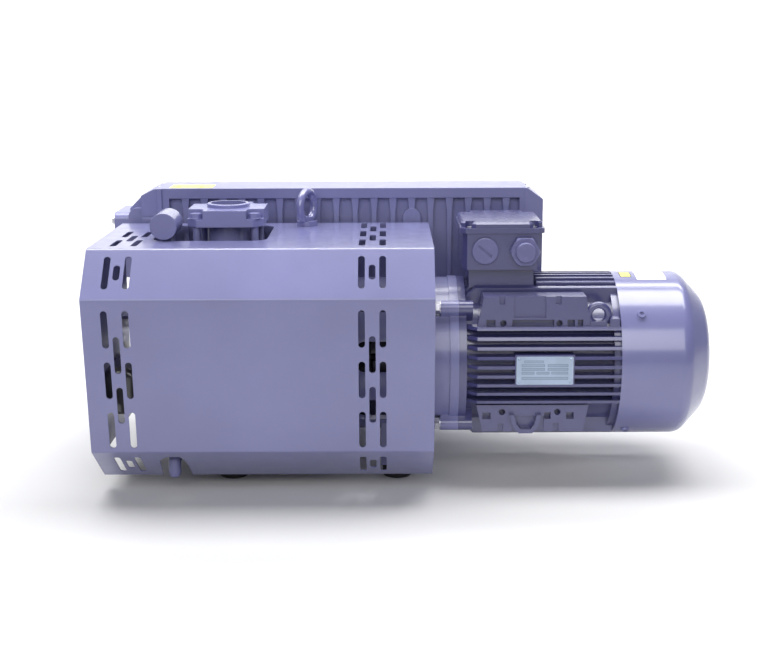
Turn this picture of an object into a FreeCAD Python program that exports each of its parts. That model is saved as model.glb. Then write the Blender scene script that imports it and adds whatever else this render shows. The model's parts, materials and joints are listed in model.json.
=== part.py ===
import FreeCAD, Part
import math
import os

# Oil-lubricated rotary vane vacuum pump with a flanged electric motor.
# Millimetres. +X runs along the shaft from the pump to the motor, +Y to the
# back (towards the oil separator), +Z up, and the rubber feet stand on Z = 0.
# Every part is built about the shaft line, with X = 0 at the coupling, and
# the whole pump is then moved so that its footprint is centred on the origin.

V = FreeCAD.Vector
ORIGIN_SHIFT = V(-16.5, -53.1, 0)

# ---- driving dimensions: pump --------------------------------------------
SHAFT_Z = 193.0            # height of the shaft above the floor
BORE_R = 90.0              # pump cylinder bore
ECCENTRICITY = 13.0        # bore axis below the rotor axis
SEAL_GAP = 0.1             # rotor to bore at the top sealing line
CYL_X0, CYL_X1 = -330.0, -100.0
PLATE_T = 30.0             # end plates of the pump cylinder
PLATE_R = 116.0
PLATE_BOLT_R = 103.0
PLATE_BOLT_ANGLES = (25, 65, 115, 155, 205, 335)
SHAFT_R = 20.0
BUSH_R = 27.0              # outside of the shaft bushes
SEAL_R = 31.0              # outside of the shaft seal
SEAL_W = 10.0
RUN_FIT = 0.05             # radial running clearance
COVER_X0 = -384.0          # outer face of the bearing cover
PLUG_R = 14.0              # centring plug in the bearing cover

VANE_T = 9.0
VANE_BASE_R = 88.9         # tip of a vane with no slide, from the rotor axis
VANE_H = 50.0
VANE_TIP_R = 10.0
SLOT_BOTTOM_R = 25.0
VANE_ANGLES = (0.0, 120.0, 240.0)   # from straight down, about +X

PORT_Z = 236.0             # exhaust ports
PORT_R = 7.0
PORT_PITCH = 34.0
PORT_COUNT = 6
PORT_X0 = -300.0
REED_Z0, REED_Z1 = 220.0, 252.0
REED_T = 1.2

# ---- driving dimensions: sheet guard -------------------------------------
GUARD_X0, GUARD_X1 = -449.0, 71.0
GUARD_T = 2.0
GUARD_TOP_Z = 392.0
GUARD_PROFILE = ((114, GUARD_TOP_Z), (-162, GUARD_TOP_Z), (-222, 326), (-196.5, 85), (-115, 22))
FOLD_R = 5.0
SLOT_W = 10.0
SLOT_PITCH_X = 15.7
SLOT_GROUPS = ((-399.5, 190.0), (-21.8, 300.0))   # X of the middle column, reach on top
OPENING = (-366.0, -187.0, -86.0, 86.0)
OPENING_CORNER = 25.0
EYE_BOLT_POS = (-133.0, 84.0)
STAY_T = 5.0
STAY_W = 24.0
LEFT_STAY = (-446.0, 50.0)         # outer edge in X, lower edge in Y
SIDE_PANEL_X = -447.0
SIDE_PANEL = ((108, 387.5), (-160, 387.5), (-217, 325), (-192, 88), (-150, 62), (108, 62))
RIGHT_STAY = (57.0, 20.0)
LEFT_STAY_SCREW = (62.0, 228.0)    # Y and Z
RIGHT_STAY_SCREW = (41.0, 32.0)    # X and Y

# ---- driving dimensions: inlet and gas ballast ---------------------------
INLET_X = -254.0
INLET_TOP_Z = 441.0
INLET_PLATE_Z0, INLET_PLATE_Z1 = 409.0, 435.0
INLET_HALF = 60.0          # half the width of the square plate
INLET_BOLT = 46.0          # bolt offset from the inlet axis
INLET_POCKET_Z = 421.0
STUD_R = 5.75
THREAD_G2_R = 28.3         # minor radius of a G 2 pipe thread
THREAD_BOTTOM_Z = 409.5    # the thread ends above the screen
SCREEN_R = 27.0
SEAT_Z = 400.0             # underside of the non-return valve's seat
SEAT_T = 5.0
SEAT_R = 23.0
DISC_T = 6.0
GUIDE_Z = 352.0
BALLAST_X = -345.0
BALLAST_Z = 415.0
BALLAST_R = 21.0
BALLAST_PIPE_Y = -45.0
BALLAST_Y = (-91.0, -28.0)

# ---- driving dimensions: oil separator -----------------------------------
SEP_Y0, SEP_Y1 = 130.0, 322.0
SEP_X0, SEP_X1 = -383.0, 235.0
SEP_TOP_Z = 449.0
SEP_FLAT_Y = 237.0         # back edge of the flat top
SEP_SUMP_X1 = 60.0         # the deep part ends before the motor
SEP_SUMP_Z0 = 70.0
SEP_SHELF_Z = 270.0
SEP_WALL = 9.0
BAND_H = 17.0              # plain band under the top edge
RIB_FACE_Y = SEP_Y0 + 12.0
RIB_XS = [43.0 + 32.2 * i for i in range(-12, 6)]
RIB_HALF = 3.2
BOSS_X, BOSS_Z, BOSS_R = 43.0, 399.0, 15.0   # arched boss on the ribbed face
BACK_RIB = 6.0             # height of the ribs on the back
BACK_CORNER_Z = 404.0
LEFT_FACE_X = -419.0
LEFT_TIP_X = -444.0
COVER_LIP = 4.0            # the cover's flange stands proud at the front
RIGHT_FACE_X = 267.0
EXHAUST_Y, EXHAUST_Z = 232.0, 344.0
EXHAUST_X0 = -479.0
EXHAUST_HALF = 58.0
EXHAUST_BOLT = 44.0
FILTER_AXES = ((191.0, 350.0), (271.0, 340.0))
ELEMENT_R = 36.0
ELEMENT_X0, ELEMENT_X1 = -355.0, 150.0
FLOAT_Y = 232.0
FLOAT_PIVOT = (-240.0, 190.0)
FLOAT_R = 30.0
FLOAT_PIN_R = 3.0
DRAIN_X = -335.0
DRAIN_Z = 50.0
DRAIN_INLET_Y = 155.0
DRAIN_Y = -127.0
DRAIN_R = 9.9
GAUGE_Y = 180.0            # sight glass and fill plug
GLASS_Z = 150.0
GLASS_R = 18.0
FILL_Z = 215.0
FILL_R = 13.0
FILTER_POS = (-405.0, 175.0)       # oil filter axis: x, z
FILTER_Y = (-178.0, -84.0)
FILTER_ARM_Y = -54.0
FILTER_SPIGOT_R = 7.0

# ---- driving dimensions: feet, bell and coupling -------------------------
FOOT_X = (-251.0, 16.0)
FOOT_Y = (-50.0, 250.0)
FOOT_R = 25.0
FOOT_H = 24.0
FOOT_THREAD_R = 4.25       # M10 tapping size
LEG_HALF = 26.0
LEG_TOP_Z = 105.0
BELL_R = 124.0
BELL_WALL = 9.0
BELL_X0, BELL_X1 = -70.0, 112.0
BELL_FLANGE_T = 12.0
FLANGE_BOLT_R = 132.5      # pitch radius of the four motor flange bolts
FLANGE_ANGLES = (45, 135, 225, 315)
FLANGE_SEAT_X = 84.0       # seat of the motor flange bolts
LUG_R = 11.0
HUB_R = 38.0
JAW_HALF_ANGLE = 20.0
FAN_X0, FAN_X1 = -50.0, -26.0
FAN_R = 108.0

# ---- driving dimensions: motor -------------------------------------------
MOTOR_R = 132.5            # outside of the fins and of the fan cowl
CORE_R = 112.0             # root of the fins
STATOR_R = 95.0
ROTOR_R = 64.5
AIR_GAP = 0.5
STACK_X0, STACK_X1 = 170.0, 320.0
FRAME_X1 = 363.5
FIN_PITCH = 14.5
FIN_T = 5.0
FIN_X0 = 125.0             # the fins taper off over the drive end shield
SHIELD_X0, SHIELD_X1 = 112.0, 134.0
REAR_X1 = 382.0
BEARING_R = 45.0
BEARING_W = 22.0
REAR_BEARING_X = 358.0
PAD_X0, PAD_X1 = 140.0, 309.0
PAD_Y = 109.0
PAD_Z = {1: (62.0, 113.5), -1: (60.0, 103.0)}   # from the shaft to the edges, above and below
PAD_HOLE_X = (181.0, 268.0)
PAD_HOLE_DZ = 71.5         # bolt holes from the shaft's height
PAD_SLOT_X = ((174.5, 183.0), (262.0, 270.5))
PAD_PANEL_X = (197.0, 247.0)
PAD_POCKETS = {1: ((154.5, 168.5), (194.5, 260.0), (280.5, 292.0), (296.5, 305.0)),
               -1: ((150.0, 163.0), (247.5, 257.5), (282.0, 294.0))}
PAD_POCKET_DZ = {1: (64.0, 77.0), -1: (72.4, 83.0)}
PAD_POCKET_DEPTH = 12.0
PAD_HOLE_R = 5.0
EYE_X, EYE_Y, EYE_Z = 329.0, -103.0, 277.0
BRACKET_OUTER = ((192, 119), (197, 100), (207, 89.5), (228, 89.5), (237, 100), (242, 119))
BRACKET_INNER = ((199, 120), (203, 104), (210, 96), (225, 96), (231, 104), (235, 120))
PLATE_X = (200.0, 288.0)   # rating plate
PLATE_Z = (SHAFT_Z - 20.6, SHAFT_Z + 24.0)
COWL_X1 = 512.0
COWL_CYL_X1 = 471.0
COWL_END_R = 89.0
COWL_T = 2.0
COWL_SHOULDER_R = 24.0     # rounding where the skirt turns in
COWL_RIM_R = 40.0          # rounding at the end face
AIR_HOLE_R = 4.2
COWL_SCREWS = ((51, 396.0), (146, 382.0), (-51, 396.0), (-146, 382.0))   # angle from the top, X

# ---- driving dimensions: terminal box ------------------------------------
TB_X0, TB_X1 = 119.0, 243.0
TB_Y0, TB_Y1 = -70.0, 78.0
TB_Z0, TB_Z1 = 342.0, 400.0
TB_WALL = 5.0
NECK_X = (130.0, 233.0)
NECK_Y = 50.0
NECK_Z0 = 310.0
ROUND_PLUG_X = 154.0
HEX_PLUG_X = 216.0
PLUG_Z = 372.0
SPIGOT_R = 15.7
PLUG_HOLE_R = 16.0

# ---- derived -------------------------------------------------------------
ROTOR_R_PUMP = BORE_R - ECCENTRICITY - SEAL_GAP
BORE_Z = SHAFT_Z - ECCENTRICITY
MID_Z = SHAFT_Z - ECCENTRICITY / 2.0
PORT_XS = [PORT_X0 + PORT_PITCH * i for i in range(PORT_COUNT)]
PLATE_X0 = CYL_X0 - PLATE_T
PLATE_X1 = CYL_X1 + PLATE_T
EXHAUST_BLOCK_X0 = EXHAUST_X0 + 4.0

# ---- screw sizes ---------------------------------------------------------
M6_R, M6_CLEAR = 3.0, 3.3
M6_HEAD = (6.5, 4.0)       # radius and height of a round head
M8_R, M8_CLEAR = 4.0, 4.5
M8_HEAD = (13.0, 5.5)      # across flats and height of a hexagon head


# ---- plain shapes --------------------------------------------------------
def box(x0, x1, y0, y1, z0, z1):
    return Part.makeBox(x1 - x0, y1 - y0, z1 - z0, V(x0, y0, z0))


def cyl_x(x0, x1, r, y=0.0, z=SHAFT_Z):
    return Part.makeCylinder(r, x1 - x0, V(x0, y, z), V(1, 0, 0))


def cyl_y(y0, y1, r, x, z):
    return Part.makeCylinder(r, y1 - y0, V(x, y0, z), V(0, 1, 0))


def cyl_z(z0, z1, r, x, y):
    return Part.makeCylinder(r, z1 - z0, V(x, y, z0), V(0, 0, 1))


def tube_x(x0, x1, r_in, r_out, y=0.0, z=SHAFT_Z):
    return cyl_x(x0, x1, r_out, y, z).cut(cyl_x(x0 - 1, x1 + 1, r_in, y, z))


def tube_z(z0, z1, r_in, r_out, x, y):
    return cyl_z(z0, z1, r_out, x, y).cut(cyl_z(z0 - 1, z1 + 1, r_in, x, y))


def extrude(points, direction):
    wire = Part.makePolygon(points + [points[0]])
    return Part.Face(wire).extrude(direction)


def prism_x(yz, x0, x1):
    return extrude([V(x0, y, z) for y, z in yz], V(x1 - x0, 0, 0))


def prism_y(xz, y0, y1):
    return extrude([V(x, y0, z) for x, z in xz], V(0, y1 - y0, 0))


def prism_z(xy, z0, z1):
    return extrude([V(x, y, z0) for x, y in xy], V(0, 0, z1 - z0))


def octagon_xy(x0, x1, y0, y1, c):
    """Rectangle with its corners cut off by c."""
    return [(x0 + c, y0), (x1 - c, y0), (x1, y0 + c), (x1, y1 - c), (x1 - c, y1),
            (x0 + c, y1), (x0, y1 - c), (x0, y0 + c)]


def corners(dx, dy, x=0.0, y=0.0):
    """The four corners of a rectangle of half sizes dx and dy about x and y."""
    return [(x + sx * dx, y + sy * dy) for sx in (-1, 1) for sy in (-1, 1)]


def hexagon(across_flats, height, base, axis):
    """Hexagonal prism from base along axis."""
    r = across_flats / math.sqrt(3.0)
    corners = [V(r * math.cos(math.radians(60 * i)), r * math.sin(math.radians(60 * i)), 0)
               for i in range(6)]
    shape = extrude(corners, V(0, 0, height))
    shape.Placement = FreeCAD.Placement(base, FreeCAD.Rotation(V(0, 0, 1), axis))
    return shape


def revolve_x(rx, y=0.0, z=SHAFT_Z):
    """Solid of revolution about a line along X: rx lists (x, radius)."""
    points = [V(x, y, z + r) for x, r in rx]
    wire = Part.makePolygon(points + [points[0]])
    return Part.Face(wire).revolve(V(0, y, z), V(1, 0, 0), 360)


def revolve_z(rz, x, y):
    points = [V(x + r, y, z) for r, z in rz]
    wire = Part.makePolygon(points + [points[0]])
    return Part.Face(wire).revolve(V(x, y, 0), V(0, 0, 1), 360)


def fuse(shapes):
    first = shapes[0]
    return first.fuse(shapes[1:]).removeSplitter()


def group(shapes):
    return Part.makeCompound(shapes)


def turned(shape, degrees, y=0.0, z=SHAFT_Z):
    """Copy turned about the shaft line."""
    copy = shape.copy()
    copy.rotate(V(0, y, z), V(1, 0, 0), degrees)
    return copy


def around(shape, count, start=0.0):
    return [turned(shape, start + 360.0 * i / count) for i in range(count)]


def rounded(shape, radius, keep):
    """Fillet the edges that keep(edge) picks."""
    edges = [e for e in shape.Edges if keep(e)]
    return shape.makeFillet(radius, edges)


def along(axis):
    """Test for straight edges along a row axis."""
    def test(edge):
        if len(edge.Vertexes) != 2:
            return False
        step = edge.Vertexes[1].Point - edge.Vertexes[0].Point
        return step.Length > 1e-6 and abs(step.dot(axis)) > 0.999 * step.Length
    return test


def ring_at(x, r):
    """Test for the round edge of radius r about the shaft line at x."""
    def test(edge):
        size = edge.BoundBox
        return (size.XLength < 1e-3 and abs(size.XMin - x) < 1e-3
                and abs(size.ZMax - SHAFT_Z - r) < 1e-2)
    return test


def bolt(base, axis, r_shank, length, across_flats, head, washer=0.0):
    """Hexagon-head bolt: base is the seat of the head, axis points out of the head."""
    shank = Part.makeCylinder(r_shank, length + washer, base - axis * length, axis)
    parts = [shank, hexagon(across_flats, head, base + axis * washer, axis)]
    if washer:
        parts.append(Part.makeCylinder(across_flats * 0.62, washer, base, axis))
    return fuse(parts)


def socket_screw(base, axis, r_shank, length, r_head, head):
    """Round-head screw with a hexagon socket."""
    parts = [Part.makeCylinder(r_shank, length, base - axis * length, axis),
             Part.makeCylinder(r_head, head, base, axis)]
    recess = hexagon(r_head * 0.9, head * 0.6, base + axis * (head * 0.4), axis)
    return fuse(parts).cut(recess)


# ---- sheet guard ---------------------------------------------------------
def sheet_outline(points, thickness):
    """Closed outline of a bent sheet: the points and their mitred inner offset."""
    inner = []
    for i, (y, z) in enumerate(points):
        normals = []
        for j in (i - 1, i):
            if 0 <= j < len(points) - 1:
                dy = points[j + 1][0] - points[j][0]
                dz = points[j + 1][1] - points[j][1]
                length = math.hypot(dy, dz)
                normals.append((-dz / length, dy / length))
        ny = sum(n[0] for n in normals)
        nz = sum(n[1] for n in normals)
        scale = thickness * len(normals) / (ny * ny + nz * nz)
        inner.append((y + ny * scale, z + nz * scale))
    return list(points) + inner[::-1]


def panel_slot(x, start, end, centre, length):
    """Cutter for a round-ended slot running down the panel from start to end."""
    dy, dz = end[0] - start[0], end[1] - start[1]
    size = math.hypot(dy, dz)
    down = V(0, dy / size, dz / size)
    normal = V(1, 0, 0).cross(down)
    mid = V(x, start[0], start[1]) + down * centre
    half = length / 2.0 - SLOT_W / 2.0
    side = V(SLOT_W / 2.0, 0, 0)
    a, b = mid - down * half, mid + down * half
    edges = [Part.makeLine(a - side, b - side),
             Part.Arc(b - side, b + down * (SLOT_W / 2.0), b + side).toShape(),
             Part.makeLine(b + side, a + side),
             Part.Arc(a + side, a - down * (SLOT_W / 2.0), a - side).toShape()]
    face = Part.Face(Part.Wire(edges))
    face.translate(normal * -8.0)
    return face.extrude(normal * 16.0)


def guard_slots():
    top_back, top_front, fold_1, fold_2, bottom = GUARD_PROFILE
    panels = (  # start, end, (centre, length) of the outer columns, then of the middle column
        (top_front, top_back, ((56, 62), (149, 62), (242, 62)), ((104, 60), (202, 60))),
        (top_front, fold_1, ((42.5, 57),), ((42.5, 26),)),
        (fold_1, fold_2, ((46, 58), (126, 58), (206, 58)), ((86, 58), (166, 58))),
        (fold_2, bottom, ((55, 66),), ((55, 36),)),
    )
    cutters = []
    for group_x, reach in SLOT_GROUPS:
        for start, end, outer, middle in panels:
            for column, slots in ((-1, outer), (0, middle), (1, outer)):
                for centre, length in slots:
                    if end == top_back and centre > reach:
                        continue
                    cutters.append(panel_slot(group_x + column * SLOT_PITCH_X, start, end,
                                              centre, length))
    return cutters


def front_guard():
    outline = sheet_outline(GUARD_PROFILE, GUARD_T)
    sheet = prism_x(outline, GUARD_X0, GUARD_X1)
    folds = GUARD_PROFILE[1:4]

    def outer_fold(edge):
        if not along(V(1, 0, 0))(edge):
            return False
        p = edge.Vertexes[0].Point
        return any(math.hypot(p.y - y, p.z - z) < 0.01 for y, z in folds)

    def inner_fold(edge):
        if not along(V(1, 0, 0))(edge):
            return False
        p = edge.Vertexes[0].Point
        return any(0.5 < math.hypot(p.y - y, p.z - z) < 2 * GUARD_T for y, z in folds)

    sheet = rounded(rounded(sheet, FOLD_R, outer_fold), FOLD_R - GUARD_T, inner_fold)
    x0, x1, y0, y1 = OPENING
    opening = rounded(box(x0, x1, y0, y1, 380, 400), OPENING_CORNER, along(V(0, 0, 1)))
    notch = prism_y([(-357, 15), (-351, 62), (-343, 70), (-337, 72), (-318, 72), (-314, 66),
                     (-310, 50), (-308.5, 15)], -200, -100)
    eye_hole = cyl_z(385, 395, 8.5, *EYE_BOLT_POS)
    return sheet.cut(guard_slots() + [opening, notch, eye_hole])


def guard_stays():
    """Side panel with a strip from the end plate, and a bent strip from the bell."""
    seat = GUARD_TOP_Z - GUARD_T
    x, y = LEFT_STAY
    left = fuse([box(x, x + STAY_W, -125, 100, seat - STAY_T, seat),
                 prism_x(SIDE_PANEL, SIDE_PANEL_X, SIDE_PANEL_X + GUARD_T),
                 box(x, PLATE_X0, y, y + STAY_W, 240, 240 + STAY_T),
                 box(PLATE_X0 - STAY_T, PLATE_X0, y, y + STAY_W, 215, 241)])
    left = left.cut(cyl_x(PLATE_X0 - 6, PLATE_X0 + 1, M6_CLEAR, *LEFT_STAY_SCREW))
    x, y = RIGHT_STAY
    saddle = box(33, x, y, y + STAY_W, 300, 325).cut(cyl_x(30, 60, BELL_R))
    right = fuse([box(x - STAY_W, x, -125, 100, seat - STAY_T, seat),
                  box(x - STAY_T, x, y, y + STAY_W, 320, seat), saddle])
    right = right.cut(cyl_z(300, 326, M6_CLEAR, *RIGHT_STAY_SCREW))
    return group([left, right])


def button_screws():
    """Round-head M6 screws of the guard stays and the fan cowl."""
    screws = [socket_screw(V(PLATE_X0 - STAY_T, *LEFT_STAY_SCREW), V(-1, 0, 0), M6_R, 16.0, *M6_HEAD),
              socket_screw(V(*RIGHT_STAY_SCREW, 325), V(0, 0, 1), M6_R, 20.0, *M6_HEAD)]
    for angle, x in COWL_SCREWS:
        base = V(x, 0, SHAFT_Z + MOTOR_R)
        screws.append(turned(socket_screw(base, V(0, 0, 1), M6_R, 13.0, *M6_HEAD), angle))
    return group(screws)


# ---- pump cylinder and end plates ----------------------------------------


def foot_leg(x, y, top):
    """Square leg that stands on a rubber foot."""
    return box(x - LEG_HALF, x + LEG_HALF, y - LEG_HALF, y + LEG_HALF, FOOT_H, top)


def foot_stud_hole(x, y):
    return cyl_z(FOOT_H - 1, 46, 5.3, x, y)


def plate_bolt_places():
    for angle in PLATE_BOLT_ANGLES:
        a = math.radians(angle)
        yield PLATE_BOLT_R * math.cos(a), BORE_Z + PLATE_BOLT_R * math.sin(a)


def pump_cylinder():
    outer = cyl_x(CYL_X0, CYL_X1, 106.0, 0, BORE_Z)
    ends = [cyl_x(CYL_X0, CYL_X0 + 16, PLATE_R, 0, BORE_Z), cyl_x(CYL_X1 - 16, CYL_X1, PLATE_R, 0, BORE_Z)]
    fins = []
    for i in range(11):
        fin = box(CYL_X0 + 2, CYL_X1 - 2, -117.0, -100.0, BORE_Z - 2, BORE_Z + 2)
        fins.append(turned(fin, -40.0 + 12.0 * i, 0, BORE_Z))
    back = box(CYL_X0, CYL_X1, 60.0, SEP_Y0, 95.0, 268.0)
    pad = box(INLET_X - 66, INLET_X + 66, -66, 66, 230, 300)
    leg = foot_leg(FOOT_X[0], FOOT_Y[0], LEG_TOP_Z)
    x, y = EYE_BOLT_POS
    post = cyl_z(240, GUARD_TOP_Z - GUARD_T, 18.0, x, y)
    body = fuse([outer, back, pad, leg, post] + ends + fins)
    tools = [cyl_x(CYL_X0 - 1, CYL_X1 + 1, BORE_R, 0, BORE_Z)]
    tools += [cyl_y(60, SEP_Y0 + 1, PORT_R, px, PORT_Z) for px in PORT_XS]
    tools.append(box(INLET_X - 34, INLET_X + 34, -62, 22, 284, 301))
    tools.append(box(INLET_X - 34, INLET_X + 34, -62, -28, 240, 290))
    tools.append(foot_stud_hole(FOOT_X[0], FOOT_Y[0]))
    tools.append(cyl_z(345, GUARD_TOP_Z, 8.0, x, y))
    for by, bz in plate_bolt_places():
        tools.append(cyl_x(CYL_X0 - 1, CYL_X0 + 14, M8_R, by, bz))
        tools.append(cyl_x(CYL_X1 - 14, CYL_X1 + 1, M8_R, by, bz))
    tools += [cyl_z(276, 301, 6.0, bx, by) for bx, by in inlet_bolt_places()]
    return body.cut(tools)


def end_plate(x0, x1):
    """Blank end plate with the shaft bore and its bush seat."""
    plate = cyl_x(x0, x1, PLATE_R, 0, BORE_Z)
    foot = box(x0, x1, -60, 60, 84, 110)
    plate = fuse([plate, foot])
    tools = [cyl_x(x0 - 1, x1 + 1, BUSH_R)]
    for by, bz in plate_bolt_places():
        tools.append(cyl_x(x0 - 1, x1 + 1, M8_CLEAR, by, bz))
    return plate.cut(tools)


def outer_end_plate():
    """End plate away from the motor, with the boss that carries the oil filter."""
    x0, x1 = PLATE_X0, CYL_X0
    plate = end_plate(x0, x1)
    fx, fz = FILTER_POS
    arm = box(fx - 30, x0 + 1, FILTER_Y[1], FILTER_ARM_Y, fz - 30, fz + 30)
    stalk = box(x0, x1, BALLAST_PIPE_Y - 9, BALLAST_PIPE_Y + 9, 278, 306)
    plate = fuse([plate, arm, stalk])
    tools = [cyl_y(FILTER_Y[1] - 1, FILTER_ARM_Y + 1, FILTER_SPIGOT_R, fx, fz),
             cyl_z(280, 307, 6.3, BALLAST_X, BALLAST_PIPE_Y),
             cyl_x(x0 - 1, x0 + 12, M6_CLEAR, *LEFT_STAY_SCREW)]
    return plate.cut(tools)


def drive_end_plate():
    plate = end_plate(CYL_X1, PLATE_X1)
    return plate.cut([cyl_x(PLATE_X1 - SEAL_W, PLATE_X1 + 1, SEAL_R)])


def hex_bolts():
    """M8 hexagon bolts of the end plates, the bell and the discharge flange."""
    bolts = []
    for by, bz in plate_bolt_places():
        bolts.append(bolt(V(PLATE_X0, by, bz), V(-1, 0, 0), M8_R, 42.0, *M8_HEAD))
        bolts.append(bolt(V(BELL_X0 + BELL_FLANGE_T, by, bz), V(1, 0, 0), M8_R, 54.0, *M8_HEAD))
    for by, bz in exhaust_bolt_places():
        base = V(EXHAUST_BLOCK_X0, by, bz)
        bolts.append(bolt(base, V(-1, 0, 0), M8_R, 44.0, *M8_HEAD))
    return group(bolts)


def bearing_cover():
    """Round cover over the outer shaft end, with the seat of the centring plug."""
    cover = fuse([cyl_x(COVER_X0 + 6, PLATE_X0, 50.0), cyl_x(COVER_X0, COVER_X0 + 8, 34.0)])
    tools = [cyl_x(COVER_X0 + 14, PLATE_X0 + 1, BUSH_R),
             cyl_x(COVER_X0 - 1, COVER_X0 + 15, PLUG_R, 0, MID_Z)]
    return cover.cut(tools)


def centring_plug():
    """Smooth round plug in the bearing cover, halfway between rotor axis and bore axis."""
    r = PLUG_R - RUN_FIT
    return revolve_x([(COVER_X0 - 4, 0), (COVER_X0 - 4, r - 3), (COVER_X0 - 2.5, r - 1),
                      (COVER_X0, r), (COVER_X0 + 13, r), (COVER_X0 + 13, 0)], 0, MID_Z)


def pump_bearings():
    """Plain bushes of both end plates."""
    r = SHAFT_R + RUN_FIT
    return group([tube_x(PLATE_X0, CYL_X0, r, BUSH_R), tube_x(CYL_X1, PLATE_X1 - SEAL_W, r, BUSH_R)])


def shaft_seal():
    """Lip seal where the shaft leaves the drive end plate."""
    x1 = PLATE_X1
    r = SHAFT_R + RUN_FIT
    return revolve_x([(x1 - SEAL_W, r + 3), (x1 - SEAL_W, SEAL_R), (x1, SEAL_R), (x1, r + 4),
                      (x1 - 3, r + 3), (x1 - 5, r), (x1 - 6, r), (x1 - 7, r + 3)])


# ---- pump rotor and vanes ------------------------------------------------
def pump_rotor():
    body = cyl_x(CYL_X0 + RUN_FIT, CYL_X1 - RUN_FIT, ROTOR_R_PUMP)
    slots = []
    for angle in VANE_ANGLES:
        slot = box(CYL_X0 - 1, CYL_X1 + 1, -VANE_T / 2 - RUN_FIT, VANE_T / 2 + RUN_FIT,
                   SHAFT_Z - BORE_R, SHAFT_Z - SLOT_BOTTOM_R)
        slots.append(turned(slot, angle))
    body = body.cut(slots)
    return fuse([body, cyl_x(PLATE_X0 + 1, CYL_X0 + 1, SHAFT_R),
                 cyl_x(CYL_X1 - 1, -26.0, SHAFT_R)])


def vane(angle):
    """Vane that slides by the eccentricity times the cosine of its angle from straight down."""
    slide = ECCENTRICITY * math.cos(math.radians(angle))
    tip = VANE_BASE_R + slide
    x0, x1 = CYL_X0 + 2 * RUN_FIT, CYL_X1 - 2 * RUN_FIT
    half = VANE_T / 2
    shoulder = tip - (VANE_TIP_R - math.sqrt(VANE_TIP_R ** 2 - half ** 2))
    foot = SHAFT_Z - tip + VANE_H
    edges = [Part.makeLine(V(x0, half, foot), V(x0, half, SHAFT_Z - shoulder)),
             Part.Arc(V(x0, half, SHAFT_Z - shoulder), V(x0, 0, SHAFT_Z - tip),
                      V(x0, -half, SHAFT_Z - shoulder)).toShape(),
             Part.makeLine(V(x0, -half, SHAFT_Z - shoulder), V(x0, -half, foot)),
             Part.makeLine(V(x0, -half, foot), V(x0, half, foot))]
    blade = Part.Face(Part.Wire(edges)).extrude(V(x1 - x0, 0, 0))
    return turned(blade, angle)


# ---- exhaust valve -------------------------------------------------------


def exhaust_reed():
    """Comb-shaped flap plate that covers the exhaust ports."""
    x0, x1 = PORT_XS[0] - 15, PORT_XS[-1] + 15
    strip = box(x0, x1, SEP_Y0, SEP_Y0 + REED_T, REED_Z0, REED_Z1)
    half_gap = 1.5
    mids = [px + PORT_PITCH / 2 for px in PORT_XS[:-1]]
    gaps = [box(mx - half_gap, mx + half_gap, SEP_Y0 - 1, SEP_Y0 + REED_T + 1, REED_Z0 + 8, REED_Z1 + 1)
            for mx in mids]
    return strip.cut(gaps)


def reed_stop():
    """Curved stop that limits the lift of the flaps, with its clamping foot."""
    x0, x1 = PORT_XS[0] - 15, PORT_XS[-1] + 15
    y = SEP_Y0
    outline = [(y, 200), (y, 217), (y + 5, 217), (y + 13, 256), (y + 16, 255.5), (y + 8, 212),
               (y + 4, 212), (y + 4, 200)]
    stop = prism_x(outline, x0, x1)
    rivets = [cyl_y(y + 3, y + 6, 3.0, px + PORT_PITCH / 2, 206) for px in PORT_XS[:-1]]
    return fuse([stop] + rivets)


# ---- inlet ---------------------------------------------------------------


def inlet_bolt_places():
    return corners(INLET_BOLT, INLET_BOLT, INLET_X)


def corner_pocket(bx, by):
    """Cutter for the pocket round a bolt, open to the two outer sides of the plate."""
    out_x = math.copysign(24.0, bx - INLET_X)
    out_y = math.copysign(24.0, by)
    z0, z1 = INLET_POCKET_Z, INLET_PLATE_Z1 + 1
    r = 12.0
    return fuse([cyl_z(z0, z1, r, bx, by),
                 box(min(bx, bx + out_x), max(bx, bx + out_x), by - r, by + r, z0, z1),
                 box(bx - r, bx + r, min(by, by + out_y), max(by, by + out_y), z0, z1),
                 box(min(bx, bx + out_x), max(bx, bx + out_x),
                     min(by, by + out_y), max(by, by + out_y), z0, z1)])


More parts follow.
